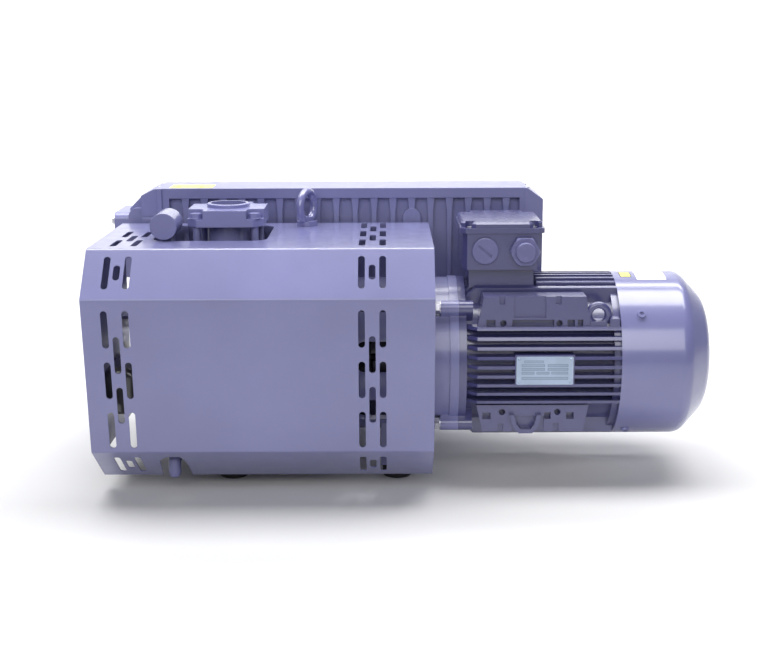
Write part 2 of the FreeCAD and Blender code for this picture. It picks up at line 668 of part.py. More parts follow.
def inlet_flange():
    """Inlet connection: foot, neck, square plate with corner pockets, raised ring."""
    x = INLET_X
    h = INLET_HALF
    plate = prism_z(octagon_xy(x - h, x + h, -h, h, 16.0), INLET_PLATE_Z0, INLET_PLATE_Z1)
    foot = box(x - h, x + h, -h, h, 300, 314)
    neck = cyl_z(300, INLET_PLATE_Z0, 35.5, x, 0)
    ring = cyl_z(INLET_PLATE_Z1, INLET_TOP_Z, 34.0, x, 0)
    body = fuse([plate, foot, neck, ring])
    edge = [e for e in body.Edges if abs(e.BoundBox.ZMin - INLET_TOP_Z) < 1e-6 and e.BoundBox.ZLength < 1e-6]
    body = body.makeFillet(2.0, edge)
    tools = [cyl_z(THREAD_BOTTOM_Z, INLET_TOP_Z + 1, THREAD_G2_R, x, 0),
             cyl_z(SEAT_Z + SEAT_T, THREAD_BOTTOM_Z + 1, SCREEN_R + 0.1, x, 0),
             cyl_z(SEAT_Z - 1, SEAT_Z + SEAT_T + 1, SEAT_R, x, 0),
             cyl_z(299, SEAT_Z, 30.0, x, 0)]
    tools += [cyl_z(299, INLET_PLATE_Z1 + 1, 6.2, bx, by) for bx, by in inlet_bolt_places()]
    tools += [corner_pocket(bx, by) for bx, by in inlet_bolt_places()]
    body = body.cut(tools)
    guide = [cyl_z(GUIDE_Z - 14, GUIDE_Z, 9.0, x, 0)]
    for i in range(3):
        spoke = Part.makeBox(31.0, 5.0, 8.0, V(x, -2.5, GUIDE_Z - 14))
        spoke.rotate(V(x, 0, 0), V(0, 0, 1), 120 * i + 30)
        guide.append(spoke)
    body = fuse([body] + guide)
    return body.cut([cyl_z(GUIDE_Z - 15, GUIDE_Z + 1, 4.0 + RUN_FIT, x, 0)])


def inlet_bolts():
    return group([bolt(V(bx, by, INLET_POCKET_Z), V(0, 0, 1), STUD_R, 143.0, 17.0, 7.5, 1.5)
                  for bx, by in inlet_bolt_places()])


def inlet_screen():
    """Perforated screen resting above the valve seat."""
    z = SEAT_Z + SEAT_T
    disc = cyl_z(z, z + 1.0, SCREEN_R, INLET_X, 0)
    rim = tube_z(z, z + 4.0, SCREEN_R - 1.7, SCREEN_R, INLET_X, 0)
    disc = fuse([disc, rim])
    holes = []
    step = 5.0
    for i in range(-5, 6):
        for j in range(-5, 6):
            hx = step * (i + 0.5 * (j % 2))
            hy = step * 0.866 * j
            if math.hypot(hx, hy) < SCREEN_R - 4.0:
                holes.append(cyl_z(z - 1, z + 2, 1.9, INLET_X + hx, hy))
    return disc.cut(holes)


def non_return_valve():
    disc = cyl_z(SEAT_Z - DISC_T, SEAT_Z, 27.5, INLET_X, 0)
    stem = cyl_z(GUIDE_Z - 16, SEAT_Z - DISC_T + 1, 4.0, INLET_X, 0)
    return fuse([disc, stem])


def helix_spring(x, y, z0, z1, r, wire, turns):
    """Round-wire compression spring about a vertical axis."""
    pitch = (z1 - z0 - wire * 2) / turns
    helix = Part.makeLongHelix(pitch, pitch * turns, r)
    start = V(r, 0, 0)
    section = Part.Wire(Part.makeCircle(wire, start, V(0, r, pitch / (2 * math.pi))))
    spring = Part.Wire(helix.Edges).makePipeShell([section], True, True)
    spring.translate(V(x, y, z0 + wire))
    return spring


def non_return_spring():
    return helix_spring(INLET_X, 0, GUIDE_Z + 0.3, SEAT_Z - DISC_T - 0.3, 7.0, 1.0, 6)


# ---- gas ballast and eye bolt --------------------------------------------


def ballast_filter():
    """Gas ballast air filter lying across the guard, on its riser from the end plate."""
    body = cyl_y(*BALLAST_Y, BALLAST_R, BALLAST_X, BALLAST_Z)
    ends = [e for e in body.Edges if e.BoundBox.YLength < 1e-6]
    body = body.makeFillet(1.5, ends)
    y = BALLAST_PIPE_Y
    neck = cyl_z(382, BALLAST_Z, 11.0, BALLAST_X, y)
    riser = cyl_z(282, 384, 6.0, BALLAST_X, y)
    nut = hexagon(17.0, 12.0, V(BALLAST_X, y, 306.0), V(0, 0, 1))
    return fuse([body, neck, riser, nut])


def eye_bolt():
    x, y = EYE_BOLT_POS
    collar = cyl_z(GUARD_TOP_Z, GUARD_TOP_Z + 8, 17.0, x, y)
    shank = cyl_z(360, GUARD_TOP_Z + 1, 8.0, x, y)
    ring_z = GUARD_TOP_Z + 32.0
    ring = Part.makeTorus(24.5, 6.5, V(x, y, ring_z), V(0.911, -0.412, 0))
    neck = cyl_z(GUARD_TOP_Z + 6, GUARD_TOP_Z + 15, 9.0, x, y)
    return fuse([collar, shank, neck, ring])


# ---- oil separator -------------------------------------------------------


def sep_section(front, floor):
    """Cross-section of the separator in Y and Z: flat top, sloped back edge."""
    return [(front, floor), (front, SEP_TOP_Z), (SEP_FLAT_Y, SEP_TOP_Z),
            (SEP_Y1, BACK_CORNER_Z), (SEP_Y1, floor)]


def separator_ribs():
    """Upright cooling ribs that flare into the band under the top edge."""
    ribs = []
    top = SEP_TOP_Z - BAND_H + 1
    h = RIB_HALF
    for x in RIB_XS:
        ribs.append(prism_y([(x - h, 290), (x + h, 290), (x + h + 1, top - 25), (x + 6.5, top),
                             (x - 6.5, top), (x - h - 1, top - 25)], SEP_Y0 + 1, RIB_FACE_Y + 2))
        foot_z = SEP_SUMP_Z0 + 12 if x < SEP_SUMP_X1 - 12 else SEP_SHELF_Z + 12
        ribs.append(box(x - h, x + h, SEP_Y1 - 1, SEP_Y1 + BACK_RIB, foot_z, BACK_CORNER_Z - 12))
    return ribs


def separator_housing():
    """Cast housing: long upper box over a deep sump, open at both ends of the box."""
    upper = prism_x(sep_section(RIB_FACE_Y, SEP_SHELF_Z), SEP_X0, SEP_X1)
    band = box(SEP_X0, SEP_X1, SEP_Y0, RIB_FACE_Y + 1, SEP_TOP_Z - BAND_H, SEP_TOP_Z)
    sump = box(SEP_X0, SEP_SUMP_X1, SEP_Y0, SEP_Y1, SEP_SUMP_Z0, SEP_SHELF_Z + 1)
    frame_l = box(SEP_X0, SEP_X0 + 12, SEP_Y0, SEP_Y1, SEP_SHELF_Z, SEP_TOP_Z - BAND_H)
    frame_r = box(SEP_X1 - 8, SEP_X1, SEP_Y0, RIB_FACE_Y + 1, SEP_SHELF_Z, SEP_TOP_Z - BAND_H)
    legs = [foot_leg(fx, FOOT_Y[1], SEP_SUMP_Z0 + 1) for fx in FOOT_X]
    boss = fuse([cyl_y(SEP_Y0 + 0.5, RIB_FACE_Y + 1, BOSS_R, BOSS_X, BOSS_Z),
                 box(BOSS_X - BOSS_R, BOSS_X + BOSS_R, SEP_Y0 + 0.5, RIB_FACE_Y + 1, 330, BOSS_Z)])
    frame_l = frame_l.common(prism_x(sep_section(SEP_Y0, SEP_SHELF_Z), SEP_X0, SEP_X0 + 12))
    body = fuse([upper, band, sump, frame_l, frame_r, boss] + legs + separator_ribs())
    w = SEP_WALL
    inner_upper = prism_x([(RIB_FACE_Y + w, SEP_SHELF_Z + w), (RIB_FACE_Y + w, SEP_TOP_Z - w),
                           (SEP_FLAT_Y - 3, SEP_TOP_Z - w), (SEP_Y1 - w, BACK_CORNER_Z - w),
                           (SEP_Y1 - w, SEP_SHELF_Z + w)], SEP_X0 - 1, SEP_X1 + 1)
    inner_sump = box(SEP_X0 - 1, SEP_SUMP_X1 - w, RIB_FACE_Y, SEP_Y1 - w, SEP_SUMP_Z0 + w, SEP_SHELF_Z - w)
    window = box(PORT_XS[0] - 20, PORT_XS[-1] + 20, SEP_Y0 - 1, RIB_FACE_Y + 1, 196, 260)
    drain_back = [cyl_z(SEP_SHELF_Z - w - 1, SEP_SHELF_Z + w + 1, 9.0, dx, 235.0) for dx in (-330, -90)]
    gas_path = box(-300, -110, 165, 200, SEP_SHELF_Z - w - 1, SEP_SHELF_Z + w + 1)
    body = body.cut([inner_upper, inner_sump, window, gas_path] + drain_back)
    px, pz = FLOAT_PIVOT
    hangers = [box(px - 6, px + 6, FLOAT_Y + y, FLOAT_Y + y + 5, pz - 7, SEP_SHELF_Z - w + 1)
               for y in (-14, 9)]
    saddles = [box(sx, sx + 8, RIB_FACE_Y + 5, SEP_Y1 - 5, SEP_SHELF_Z + w - 1, 338) for sx in (-345, 120)]
    seats = [cyl_x(ELEMENT_X0, ELEMENT_X1, ELEMENT_R, y, z) for y, z in FILTER_AXES]
    body = fuse([body] + hangers + [saddle.cut(seats) for saddle in saddles])
    holes = [foot_stud_hole(fx, FOOT_Y[1]) for fx in FOOT_X]
    holes.append(cyl_y(FLOAT_Y - 20, FLOAT_Y + 20, FLOAT_PIN_R + RUN_FIT, *FLOAT_PIVOT))
    holes.append(cyl_z(SEP_SUMP_Z0 - 1, SEP_SUMP_Z0 + w + 1, DRAIN_R + 0.1, DRAIN_X, DRAIN_INLET_Y))
    for sy, sz in left_cover_screws():
        holes.append(cyl_x(SEP_X0 - 1, SEP_X0 + 11, M6_R, sy, sz))
    for sy, sz in right_cover_screws():
        holes.append(cyl_x(SEP_X1 - 11, SEP_X1 + 1, M6_R, sy, sz))
    return body.cut(holes)


def cover_screw_line(side_z, floor_y, floor_z):
    """Screw places round an end cover: front edge, top, back edge, floor."""
    half = SEP_WALL / 2.0
    front = [(SEP_Y0 + 6.0, z) for z in side_z]
    top = [(y, SEP_TOP_Z - half) for y in (178.0, 226.0)]
    back = [(SEP_Y1 - half, z) for z in side_z if z < BACK_CORNER_Z - 10]
    return front + top + back + [(y, floor_z + half) for y in floor_y]


def left_cover_screws():
    return cover_screw_line((110.0, 200.0, 290.0, 400.0), (190.0, 270.0), SEP_SUMP_Z0)


def right_cover_screws():
    return cover_screw_line((300.0, 400.0), (190.0, 270.0), SEP_SHELF_Z)


def separator_left_cover():
    """Deep end cover away from the motor: stepped back, with a rounded lug at the front."""
    plate = prism_x(sep_section(SEP_Y0 - COVER_LIP, SEP_SUMP_Z0), SEP_X0 - 8, SEP_X0)
    shape_xz = [(SEP_X0 - 7, SEP_SUMP_Z0 + 6), (SEP_X0 - 7, SEP_TOP_Z), (SEP_X0 - 14, SEP_TOP_Z - 1),
                (LEFT_FACE_X, 437), (LEFT_TIP_X, 412), (LEFT_TIP_X, 285), (LEFT_FACE_X, 262),
                (LEFT_FACE_X, SEP_SUMP_Z0 + 6)]
    dome = prism_y(shape_xz, SEP_Y0, SEP_Y1)
    dome = dome.common(prism_x(sep_section(SEP_Y0 + 0.5, SEP_SUMP_Z0), LEFT_TIP_X - 1, SEP_X0))
    front_step = box(LEFT_TIP_X - 2, LEFT_FACE_X, SEP_Y0 - 1, SEP_Y0 + 30, 60, 460)
    dome = dome.cut(front_step)
    lug = box(LEFT_TIP_X, LEFT_FACE_X + 1, SEP_Y0 + 14, SEP_Y0 + 31, 300, 414)
    lug = rounded(lug, 14.0, lambda e: along(V(0, 1, 0))(e) and e.Vertexes[0].Point.x < LEFT_TIP_X + 1)
    body = fuse([plate, dome, lug])
    w = SEP_WALL
    hollow = box(LEFT_FACE_X + w, SEP_X0 + 1, SEP_Y0 + 12 + w, SEP_Y1 - w, SEP_SUMP_Z0 + 14, 390)
    tools = [hollow, cyl_x(EXHAUST_X0, SEP_X0, 26.0, EXHAUST_Y, EXHAUST_Z),
             cyl_x(LEFT_FACE_X - 5, LEFT_FACE_X + 12, GLASS_R, GAUGE_Y, GLASS_Z),
             cyl_x(LEFT_FACE_X - 5, LEFT_FACE_X + 12, FILL_R, GAUGE_Y, FILL_Z)]
    tools += [cyl_x(LEFT_TIP_X - 1, LEFT_TIP_X + 14, M8_R, by, bz) for by, bz in exhaust_bolt_places()]
    for sy, sz in left_cover_screws():
        tools.append(cyl_x(SEP_X0 - 9, SEP_X0 + 1, M6_CLEAR, sy, sz))
        tools.append(cyl_x(LEFT_TIP_X - 5, SEP_X0 - 8, 5.2, sy, sz))
    return body.cut(tools)


def separator_right_cover():
    """Shallow end cover above the motor with a sloped upper edge."""
    floor = SEP_SHELF_Z
    section = sep_section(SEP_Y0, floor)
    body = prism_y([(SEP_X1, floor), (SEP_X1, SEP_TOP_Z), (SEP_X1 + 6, SEP_TOP_Z - 1),
                    (RIGHT_FACE_X, 429), (RIGHT_FACE_X, floor + 8), (RIGHT_FACE_X - 6, floor)],
                   SEP_Y0, SEP_Y1)
    body = body.common(prism_x(section, SEP_X1, RIGHT_FACE_X))
    w = SEP_WALL
    hollow = box(SEP_X1 - 1, RIGHT_FACE_X - w, RIB_FACE_Y + w, SEP_FLAT_Y, floor + w, 420)
    tools = [hollow]
    for sy, sz in right_cover_screws():
        tools.append(cyl_x(SEP_X1 - 1, SEP_X1 + 9, M6_CLEAR, sy, sz))
        tools.append(cyl_x(SEP_X1 + 8, RIGHT_FACE_X + 1, 5.2, sy, sz))
    return body.cut(tools)


def cover_screws():
    screws = [socket_screw(V(SEP_X0 - 8, sy, sz), V(-1, 0, 0), M6_R, 18.0, 4.4, 5.0)
              for sy, sz in left_cover_screws()]
    screws += [socket_screw(V(SEP_X1 + 8, sy, sz), V(1, 0, 0), M6_R, 18.0, 4.4, 5.0)
               for sy, sz in right_cover_screws()]
    return group(screws)


def exhaust_bolt_places():
    return corners(EXHAUST_BOLT, EXHAUST_BOLT, EXHAUST_Y, EXHAUST_Z)


def exhaust_flange():
    """Square discharge flange with a G 2 thread facing away from the motor."""
    h = EXHAUST_HALF
    y, z = EXHAUST_Y, EXHAUST_Z
    block = box(EXHAUST_BLOCK_X0, LEFT_TIP_X, y - h, y + h, z - h, z + h)
    block = rounded(block, 12.0, along(V(1, 0, 0)))
    ring = cyl_x(EXHAUST_X0, EXHAUST_BLOCK_X0 + 1, 42.0, y, z)
    body = fuse([block, ring])
    tools = [cyl_x(EXHAUST_X0, LEFT_TIP_X + 1, M8_CLEAR, by, bz) for by, bz in exhaust_bolt_places()]
    tools.append(cyl_x(EXHAUST_X0 - 1, LEFT_TIP_X + 1, THREAD_G2_R, y, z))
    return body.cut(tools)


def exhaust_filters():
    """Two oil mist elements lying along the upper box."""
    elements = []
    for y, z in FILTER_AXES:
        element = tube_x(ELEMENT_X0, ELEMENT_X1, 20.0, ELEMENT_R, y, z)
        cap = cyl_x(ELEMENT_X1, ELEMENT_X1 + 8, ELEMENT_R + 2, y, z)
        end = tube_x(ELEMENT_X0 - 8, ELEMENT_X0, 20.0, ELEMENT_R + 2, y, z)
        elements.append(fuse([element, cap, end]))
    return group(elements)


def filter_springs():
    """Bent leaf springs that press the elements home from the motor end."""
    leaves = []
    for y, z in FILTER_AXES:
        leaf = prism_y([(158, z), (161, z), (200, z + 22), (218, z + 22), (218, z + 24),
                        (199, z + 24), (158, z + 1)], y - 9, y + 9)
        mirror = prism_y([(158, z), (158, z - 1), (199, z - 24), (218, z - 24), (218, z - 22),
                          (200, z - 22), (161, z)], y - 9, y + 9)
        leaves.append(fuse([leaf, mirror]))
    return group(leaves)


def float_valve():
    """Ball float on an arm that opens the oil return; it hangs at its lower stop."""
    px, pz = FLOAT_PIVOT
    reach = V(80, 0, -46)
    pivot = V(px, FLOAT_Y, pz)
    ball = Part.makeSphere(FLOAT_R, V(px + 95, FLOAT_Y, pz - 55))
    arm = Part.makeCylinder(FLOAT_PIN_R, reach.Length, pivot, reach)
    pin = cyl_y(FLOAT_Y - 17, FLOAT_Y + 17, FLOAT_PIN_R, px, pz)
    hub = cyl_y(FLOAT_Y - 8, FLOAT_Y + 8, 7.0, px, pz)
    return fuse([ball, arm, pin, hub])


def oil_sight_glass():
    x = LEFT_FACE_X
    rim = cyl_x(x - 6, x, GLASS_R + 4, GAUGE_Y, GLASS_Z)
    body = fuse([rim, cyl_x(x, x + SEP_WALL, GLASS_R, GAUGE_Y, GLASS_Z)])
    return body.cut(cyl_x(x - 7, x - 3, GLASS_R - 3, GAUGE_Y, GLASS_Z))


def oil_fill_plug():
    x = LEFT_FACE_X
    head = cyl_x(x - 12, x, FILL_R + 5, GAUGE_Y, FILL_Z)
    groove = cyl_x(x - 13, x - 3, 3.0, GAUGE_Y, FILL_Z + FILL_R + 5.5)
    grips = [turned(groove, 45 * i, GAUGE_Y, FILL_Z) for i in range(8)]
    return fuse([head.cut(grips), cyl_x(x, x + SEP_WALL + 4, FILL_R, GAUGE_Y, FILL_Z)])


def oil_drain():
    """Drain pipe from the sump floor, under the cylinder, to a capped valve at the front."""
    riser = cyl_z(DRAIN_Z, SEP_SUMP_Z0 + SEP_WALL, DRAIN_R, DRAIN_X, DRAIN_INLET_Y)
    bend = Part.makeSphere(DRAIN_R, V(DRAIN_X, DRAIN_INLET_Y, DRAIN_Z))
    pipe = cyl_y(DRAIN_Y, DRAIN_INLET_Y, DRAIN_R, DRAIN_X, DRAIN_Z)
    elbow = Part.makeSphere(DRAIN_R, V(DRAIN_X, DRAIN_Y, DRAIN_Z))
    drop = revolve_z([(0, 23), (6, 23), (9, 26.5), (DRAIN_R, 31), (DRAIN_R, DRAIN_Z), (0, DRAIN_Z)],
                     DRAIN_X, DRAIN_Y)
    return fuse([riser, bend, pipe, elbow, drop])


def oil_filter():
    """Spin-on canister oil filter."""
    x, z = FILTER_POS
    y0, y1 = FILTER_Y
    can = cyl_y(y0, y1 - 1, 38.0, x, z)
    ends = [e for e in can.Edges if abs(e.BoundBox.YMin - y0) < 1e-6 and e.BoundBox.YLength < 1e-6]
    can = can.makeFillet(10.0, ends)
    collar = cyl_y(y1 - 8, y1, 33.0, x, z)
    spigot = cyl_y(y1, y1 + 20, FILTER_SPIGOT_R, x, z)
    return fuse([can, collar, spigot])


def oil_pipe():
    """Oil line from the filter head back to the separator's end cover."""
    x, z = FILTER_POS[0] + 3, FILTER_POS[1] + 20
    end_y = SEP_Y0 - 11.5
    pipe = cyl_y(FILTER_ARM_Y, end_y, 6.0, x, z)
    nuts = [hexagon(17.0, 12.0, V(x, y, z), V(0, 1, 0)) for y in (FILTER_ARM_Y, end_y)]
    return fuse([pipe] + nuts)


# ---- feet ----------------------------------------------------------------
def rubber_feet():
    """Bonded buffers: rubber body on a steel core with a stud above and a thread below."""
    feet = []
    for x in FOOT_X:
        for y in FOOT_Y:
            rubber = revolve_z([(0, 0), (FOOT_R - 3, 0), (FOOT_R, 4), (FOOT_R - 2, 11), (FOOT_R, 18),
                                (FOOT_R - 1, 21), (0, 21)], x, y)
            core = cyl_z(21, FOOT_H, FOOT_R - 3, x, y)
            stud = cyl_z(FOOT_H, 44, 5.0, x, y)
            feet.append(fuse([rubber, core, stud]).cut(cyl_z(-1, 16, FOOT_THREAD_R, x, y)))
    return group(feet)


# ---- bell housing, coupling, cooling fan ---------------------------------
def bell_housing():
    """Cast lantern between pump and motor, with windows for the cooling air."""
    inner = BELL_R - BELL_WALL
    shell = tube_x(BELL_X0, BELL_X1, inner, BELL_R)
    pump_flange = tube_x(BELL_X0, BELL_X0 + BELL_FLANGE_T, 80.0, BELL_R)
    motor_flange = tube_x(BELL_X1 - 14, BELL_X1, 100.0, BELL_R + 2)
    bolt_z = SHAFT_Z + FLANGE_BOLT_R
    lug = fuse([cyl_x(FLANGE_SEAT_X, BELL_X1, LUG_R, 0, bolt_z),
                box(FLANGE_SEAT_X, BELL_X1, -LUG_R, LUG_R, SHAFT_Z + inner + 1, bolt_z)])
    lugs = [turned(lug, angle) for angle in FLANGE_ANGLES]
    leg = foot_leg(FOOT_X[1], FOOT_Y[0], LEG_TOP_Z)
    body = fuse([shell, pump_flange, motor_flange, leg] + lugs)
    tools = [cyl_x(BELL_X0 + BELL_FLANGE_T, BELL_X1 - 14, inner)]
    window = box(BELL_X0 + 24, 58, -24, 24, SHAFT_Z + 90, SHAFT_Z + 140)
    window = rounded(window, 10.0, along(V(0, 0, 1)))
    tools += [turned(window, angle) for angle in (35, 80, 125, -80)]
    for angle in FLANGE_ANGLES:
        tools.append(turned(cyl_x(FLANGE_SEAT_X - 4, BELL_X1 + 1, 5.5, 0, bolt_z), angle))
        tools.append(turned(cyl_x(FLANGE_SEAT_X - 16, FLANGE_SEAT_X, 13.0, 0, bolt_z), angle))
    tools.append(foot_stud_hole(FOOT_X[1], FOOT_Y[0]))
    for by, bz in plate_bolt_places():
        tools.append(cyl_x(BELL_X0 - 1, BELL_X0 + BELL_FLANGE_T + 1, M8_CLEAR, by, bz))
        tools.append(cyl_x(BELL_X0 + BELL_FLANGE_T, BELL_X0 + BELL_FLANGE_T + 9, 9.0, by, bz))
    tools.append(cyl_z(300, 320, M6_CLEAR, *RIGHT_STAY_SCREW))
    return body.cut(tools)


def jaws(x0, x1, start):
    """Three coupling jaws; start is the first one's angle from +Y."""
    reach = 2 * HUB_R
    half = math.radians(JAW_HALF_ANGLE)
    wedge = prism_x([(0, SHAFT_Z), (reach * math.cos(half), SHAFT_Z - reach * math.sin(half)),
                     (reach * math.cos(half), SHAFT_Z + reach * math.sin(half))], x0, x1)
    jaw = wedge.common(tube_x(x0, x1, SHAFT_R, HUB_R))
    return [turned(jaw, start + 120 * i) for i in range(3)]


def pump_coupling_hub():
    hub = tube_x(-64, -26, SHAFT_R, HUB_R)
    return fuse([hub] + jaws(-27, -0.5, 30))


def motor_coupling_hub():
    hub = tube_x(2, 40, SHAFT_R, HUB_R)
    return fuse([hub] + jaws(-23.5, 3, 90))


def coupling_spider():
    """Elastic star between the jaws."""
    star = []
    for i in range(6):
        spoke = box(-25.7, 1.7, -3, 3, SHAFT_Z + 9, SHAFT_Z + HUB_R - 1)
        star.append(turned(spoke, 60 * i + 30))
    ring = tube_x(-25.7, 1.7, 8.0, 16.0)
    return fuse([ring] + star)


def blade_ring(count, x0, x1, r_in, r_out, twist, thickness):
    """Flat blades set at an angle around the shaft."""
    blades = []
    mid = (x0 + x1) / 2
    half = (x1 - x0) / 2
    for i in range(count):
        blade = Part.makeBox(2 * half, thickness, r_out - r_in, V(-half, -thickness / 2, r_in))
        blade.rotate(V(0, 0, 0), V(0, 0, 1), twist)
        blade.translate(V(mid, 0, SHAFT_Z))
        blades.append(turned(blade, 360.0 * i / count))
    return blades


def cooling_fan():
    """Axial fan on the pump side coupling hub."""
    hub = tube_x(FAN_X0, FAN_X1, HUB_R, HUB_R + 8)
    blades = blade_ring(8, FAN_X0, FAN_X1, HUB_R + 6, FAN_R, 38.0, 3.0)
    limit = tube_x(FAN_X0 + 1, FAN_X1 - 1, HUB_R + 5, FAN_R)
    return fuse([hub] + [b.common(limit) for b in blades])


def flange_bolts():
    """M10 bolts between bell and motor."""
    place = V(FLANGE_SEAT_X, 0, SHAFT_Z + FLANGE_BOLT_R)
    first = bolt(place, V(-1, 0, 0), 5.0, 44.0, 17.0, 7.0, 1.5)
    return group([turned(first, angle) for angle in FLANGE_ANGLES])


# ---- motor ---------------------------------------------------------------


def motor_flange():
    """Drive end shield with the flange that bolts to the bell."""
    disc = cyl_x(SHIELD_X0, SHIELD_X0 + 12, BELL_R + 2)
    spigot = cyl_x(SHIELD_X0 - 14, SHIELD_X0 + 1, 99.7)
    hub = cyl_x(SHIELD_X0 + 10, SHIELD_X1 + 8, 60.0)
    rim = tube_x(SHIELD_X0 + 11, SHIELD_X1, 94.0, CORE_R)
    bolt_z = SHAFT_Z + FLANGE_BOLT_R
    lug = fuse([cyl_x(SHIELD_X0, SHIELD_X1, LUG_R, 0, bolt_z),
                box(SHIELD_X0, SHIELD_X1, -LUG_R, LUG_R, SHAFT_Z + 100, bolt_z)])
    lugs = [turned(lug, angle) for angle in FLANGE_ANGLES]
    body = fuse([disc, spigot, hub, rim] + lugs)
    tools = [cyl_x(SHIELD_X0 + 8, SHIELD_X1 + 9, BEARING_R),
             cyl_x(SHIELD_X0 - 15, SHIELD_X0 + 9, 27.0)]
    hole = cyl_x(SHIELD_X0 - 1, SHIELD_X1 + 1, 5.3, 0, bolt_z)
    tools += [turned(hole, angle) for angle in FLANGE_ANGLES]
    tools.append(cyl_x(SHIELD_X0 - 15, SHIELD_X0 - 4, 80.0).cut(cyl_x(SHIELD_X0 - 16, SHIELD_X0, 35.0)))
    return body.cut(tools)


def fin_plates():
    """Level fins on both sides and upright fins above and below, trimmed to the round."""
    root = CORE_R + 0.4
    ring = revolve_x([(FIN_X0, root), (FIN_X0, MOTOR_R - 12), (FIN_X0 + 15, MOTOR_R),
                      (FRAME_X1, MOTOR_R), (FRAME_X1, CORE_R - 2), (SHIELD_X1, CORE_R - 2),
                      (SHIELD_X1, root)])
    gap = LUG_R + 1.0
    bolt_z = SHAFT_Z + FLANGE_BOLT_R
    room = fuse([cyl_x(FIN_X0 - 1, SHIELD_X1 + 0.5, gap, 0, bolt_z),
                 box(FIN_X0 - 1, SHIELD_X1 + 0.5, -gap, gap, SHAFT_Z + 99, bolt_z)])
    ring = ring.cut([turned(room, angle) for angle in FLANGE_ANGLES])
    plates = []
    count = int(70 / FIN_PITCH)
    for i in range(-count, count + 1):
        z = SHAFT_Z + 6 + i * FIN_PITCH
        plates.append(box(FIN_X0, FRAME_X1, -140, 140, z - FIN_T / 2, z + FIN_T / 2))
    sides = ring.common(plates)
    uprights = []
    for i in range(-4, 5):
        y = i * FIN_PITCH
        uprights.append(box(FIN_X0, FRAME_X1, y - FIN_T / 2, y + FIN_T / 2, SHAFT_Z - 140, SHAFT_Z + 140))
    tall = ring.common(uprights)
    return [sides, tall]


def pad_block(sign_y, sign_z):
    """Blank for a bolted-on foot: a flat upright face with two bolt seats."""
    face = sign_y * PAD_Y
    inner = sign_y * 70.0
    z0, z1 = (SHAFT_Z + sign_z * v for v in PAD_Z[sign_z])
    y0, y1 = sorted((face, inner))
    block = prism_y([(PAD_X0, z0), (PAD_X1 + 8, z0), (PAD_X1, z1), (PAD_X0 + 10, z1)], y0, y1)

    def sunk(x0, x1, depth, za, zb):
        return box(x0, x1, *sorted((face + sign_y, face - sign_y * depth)), *sorted((za, zb)))

    pocket_z = [SHAFT_Z + sign_z * v for v in PAD_POCKET_DZ[sign_z]]
    tools = [sunk(*PAD_PANEL_X, 4.0, z0 + sign_z * 18.0, z1 + sign_z)]
    tools += [sunk(x0, x1, 6.0, z1 - sign_z * 12.5, z1 + sign_z) for x0, x1 in PAD_SLOT_X]
    tools += [sunk(x0, x1, PAD_POCKET_DEPTH, *pocket_z) for x0, x1 in PAD_POCKETS[sign_z]]
    tools += [cyl_y(*sorted((face - sign_y * 16, face + sign_y)), PAD_HOLE_R, x,
                    SHAFT_Z + sign_z * PAD_HOLE_DZ) for x in PAD_HOLE_X]
    return block.cut(tools)


def motor_housing():
    """Finned frame with four foot pads and a cast lifting eye."""
    core = tube_x(SHIELD_X1, FRAME_X1, STATOR_R, CORE_R)
    fins = fin_plates()
    pads = [pad_block(sy, sz) for sy in (-1, 1) for sz in (-1, 1)]
    seat = box(136, 236, -NECK_Y - 2, NECK_Y + 2, SHAFT_Z + 100, NECK_Z0)
    plate_seat = box(PLATE_X[0] - 2, PLATE_X[1] + 2, -MOTOR_R, -100, PLATE_Z[0] - 2, PLATE_Z[1] + 2)
    eye = Part.makeTorus(15.0, 5.5, V(EYE_X, EYE_Y, EYE_Z), V(0, 1, 0))
    eye_root = box(EYE_X - 13, EYE_X + 13, EYE_Y - 7, EYE_Y + 17, EYE_Z - 24, EYE_Z - 10)
    rim_lug = box(346, 361, -114, -92, 256, 272)
    bracket = prism_y(BRACKET_OUTER, -119, -88).cut(prism_y(BRACKET_INNER, -120, -87))
    rear_rim = tube_x(FRAME_X1 - 10, FRAME_X1, STATOR_R, 124.0)
    body = fuse([core, rear_rim] + fins + pads + [seat, plate_seat, eye, eye_root, rim_lug, bracket])
    return body.cut([cyl_x(SHIELD_X1 - 1, FRAME_X1 + 1, STATOR_R),
                      cyl_z(280, NECK_Z0 + 1, 20.0, 180, 0),
                      box(126, 238, -NECK_Y - 4, NECK_Y + 4, NECK_Z0, NECK_Z0 + 20)])


def stator_core():
    """Laminated core with open winding slots."""
    core = tube_x(STACK_X0, STACK_X1, ROTOR_R + AIR_GAP, STATOR_R)
    slot = box(STACK_X0 - 1, STACK_X1 + 1, -2.2, 2.2, SHAFT_Z + 66.5, SHAFT_Z + 84)
    return core.cut(around(slot, 24))


def stator_windings():
    """Coil heads beyond both ends of the core."""
    heads = []
    for x0, x1 in ((STACK_X0 - 25.5, STACK_X0 - 0.3), (STACK_X1 + 0.3, STACK_X1 + 26)):
        heads.append(revolve_x([(x0, 72), (x0 + 4, 68), (x1, 67), (x1, 90), (x0 + 5, 90), (x0, 86)]))
    return group(heads)


def motor_rotor():
    """Cage rotor on the motor shaft."""
    x0, x1 = STACK_X0 + 2, STACK_X1 - 2
    core = cyl_x(x0, x1, ROTOR_R)
    rings = [tube_x(x1, x1 + 12, 40, 62), tube_x(x0 - 12, x0, 40, 62)]
    shaft = revolve_x([(4, 0), (4, SHAFT_R), (112, SHAFT_R), (112, 19.95), (144, 19.95), (144, 24),
                       (356, 24), (356, 19.95), (384, 19.95), (384, 17), (450, 17), (450, 0)])
    vanes = around(box(x1 + 12, x1 + 18, -1.5, 1.5, SHAFT_Z + 46, SHAFT_Z + 60), 12)
    return fuse([core, shaft] + rings + vanes)


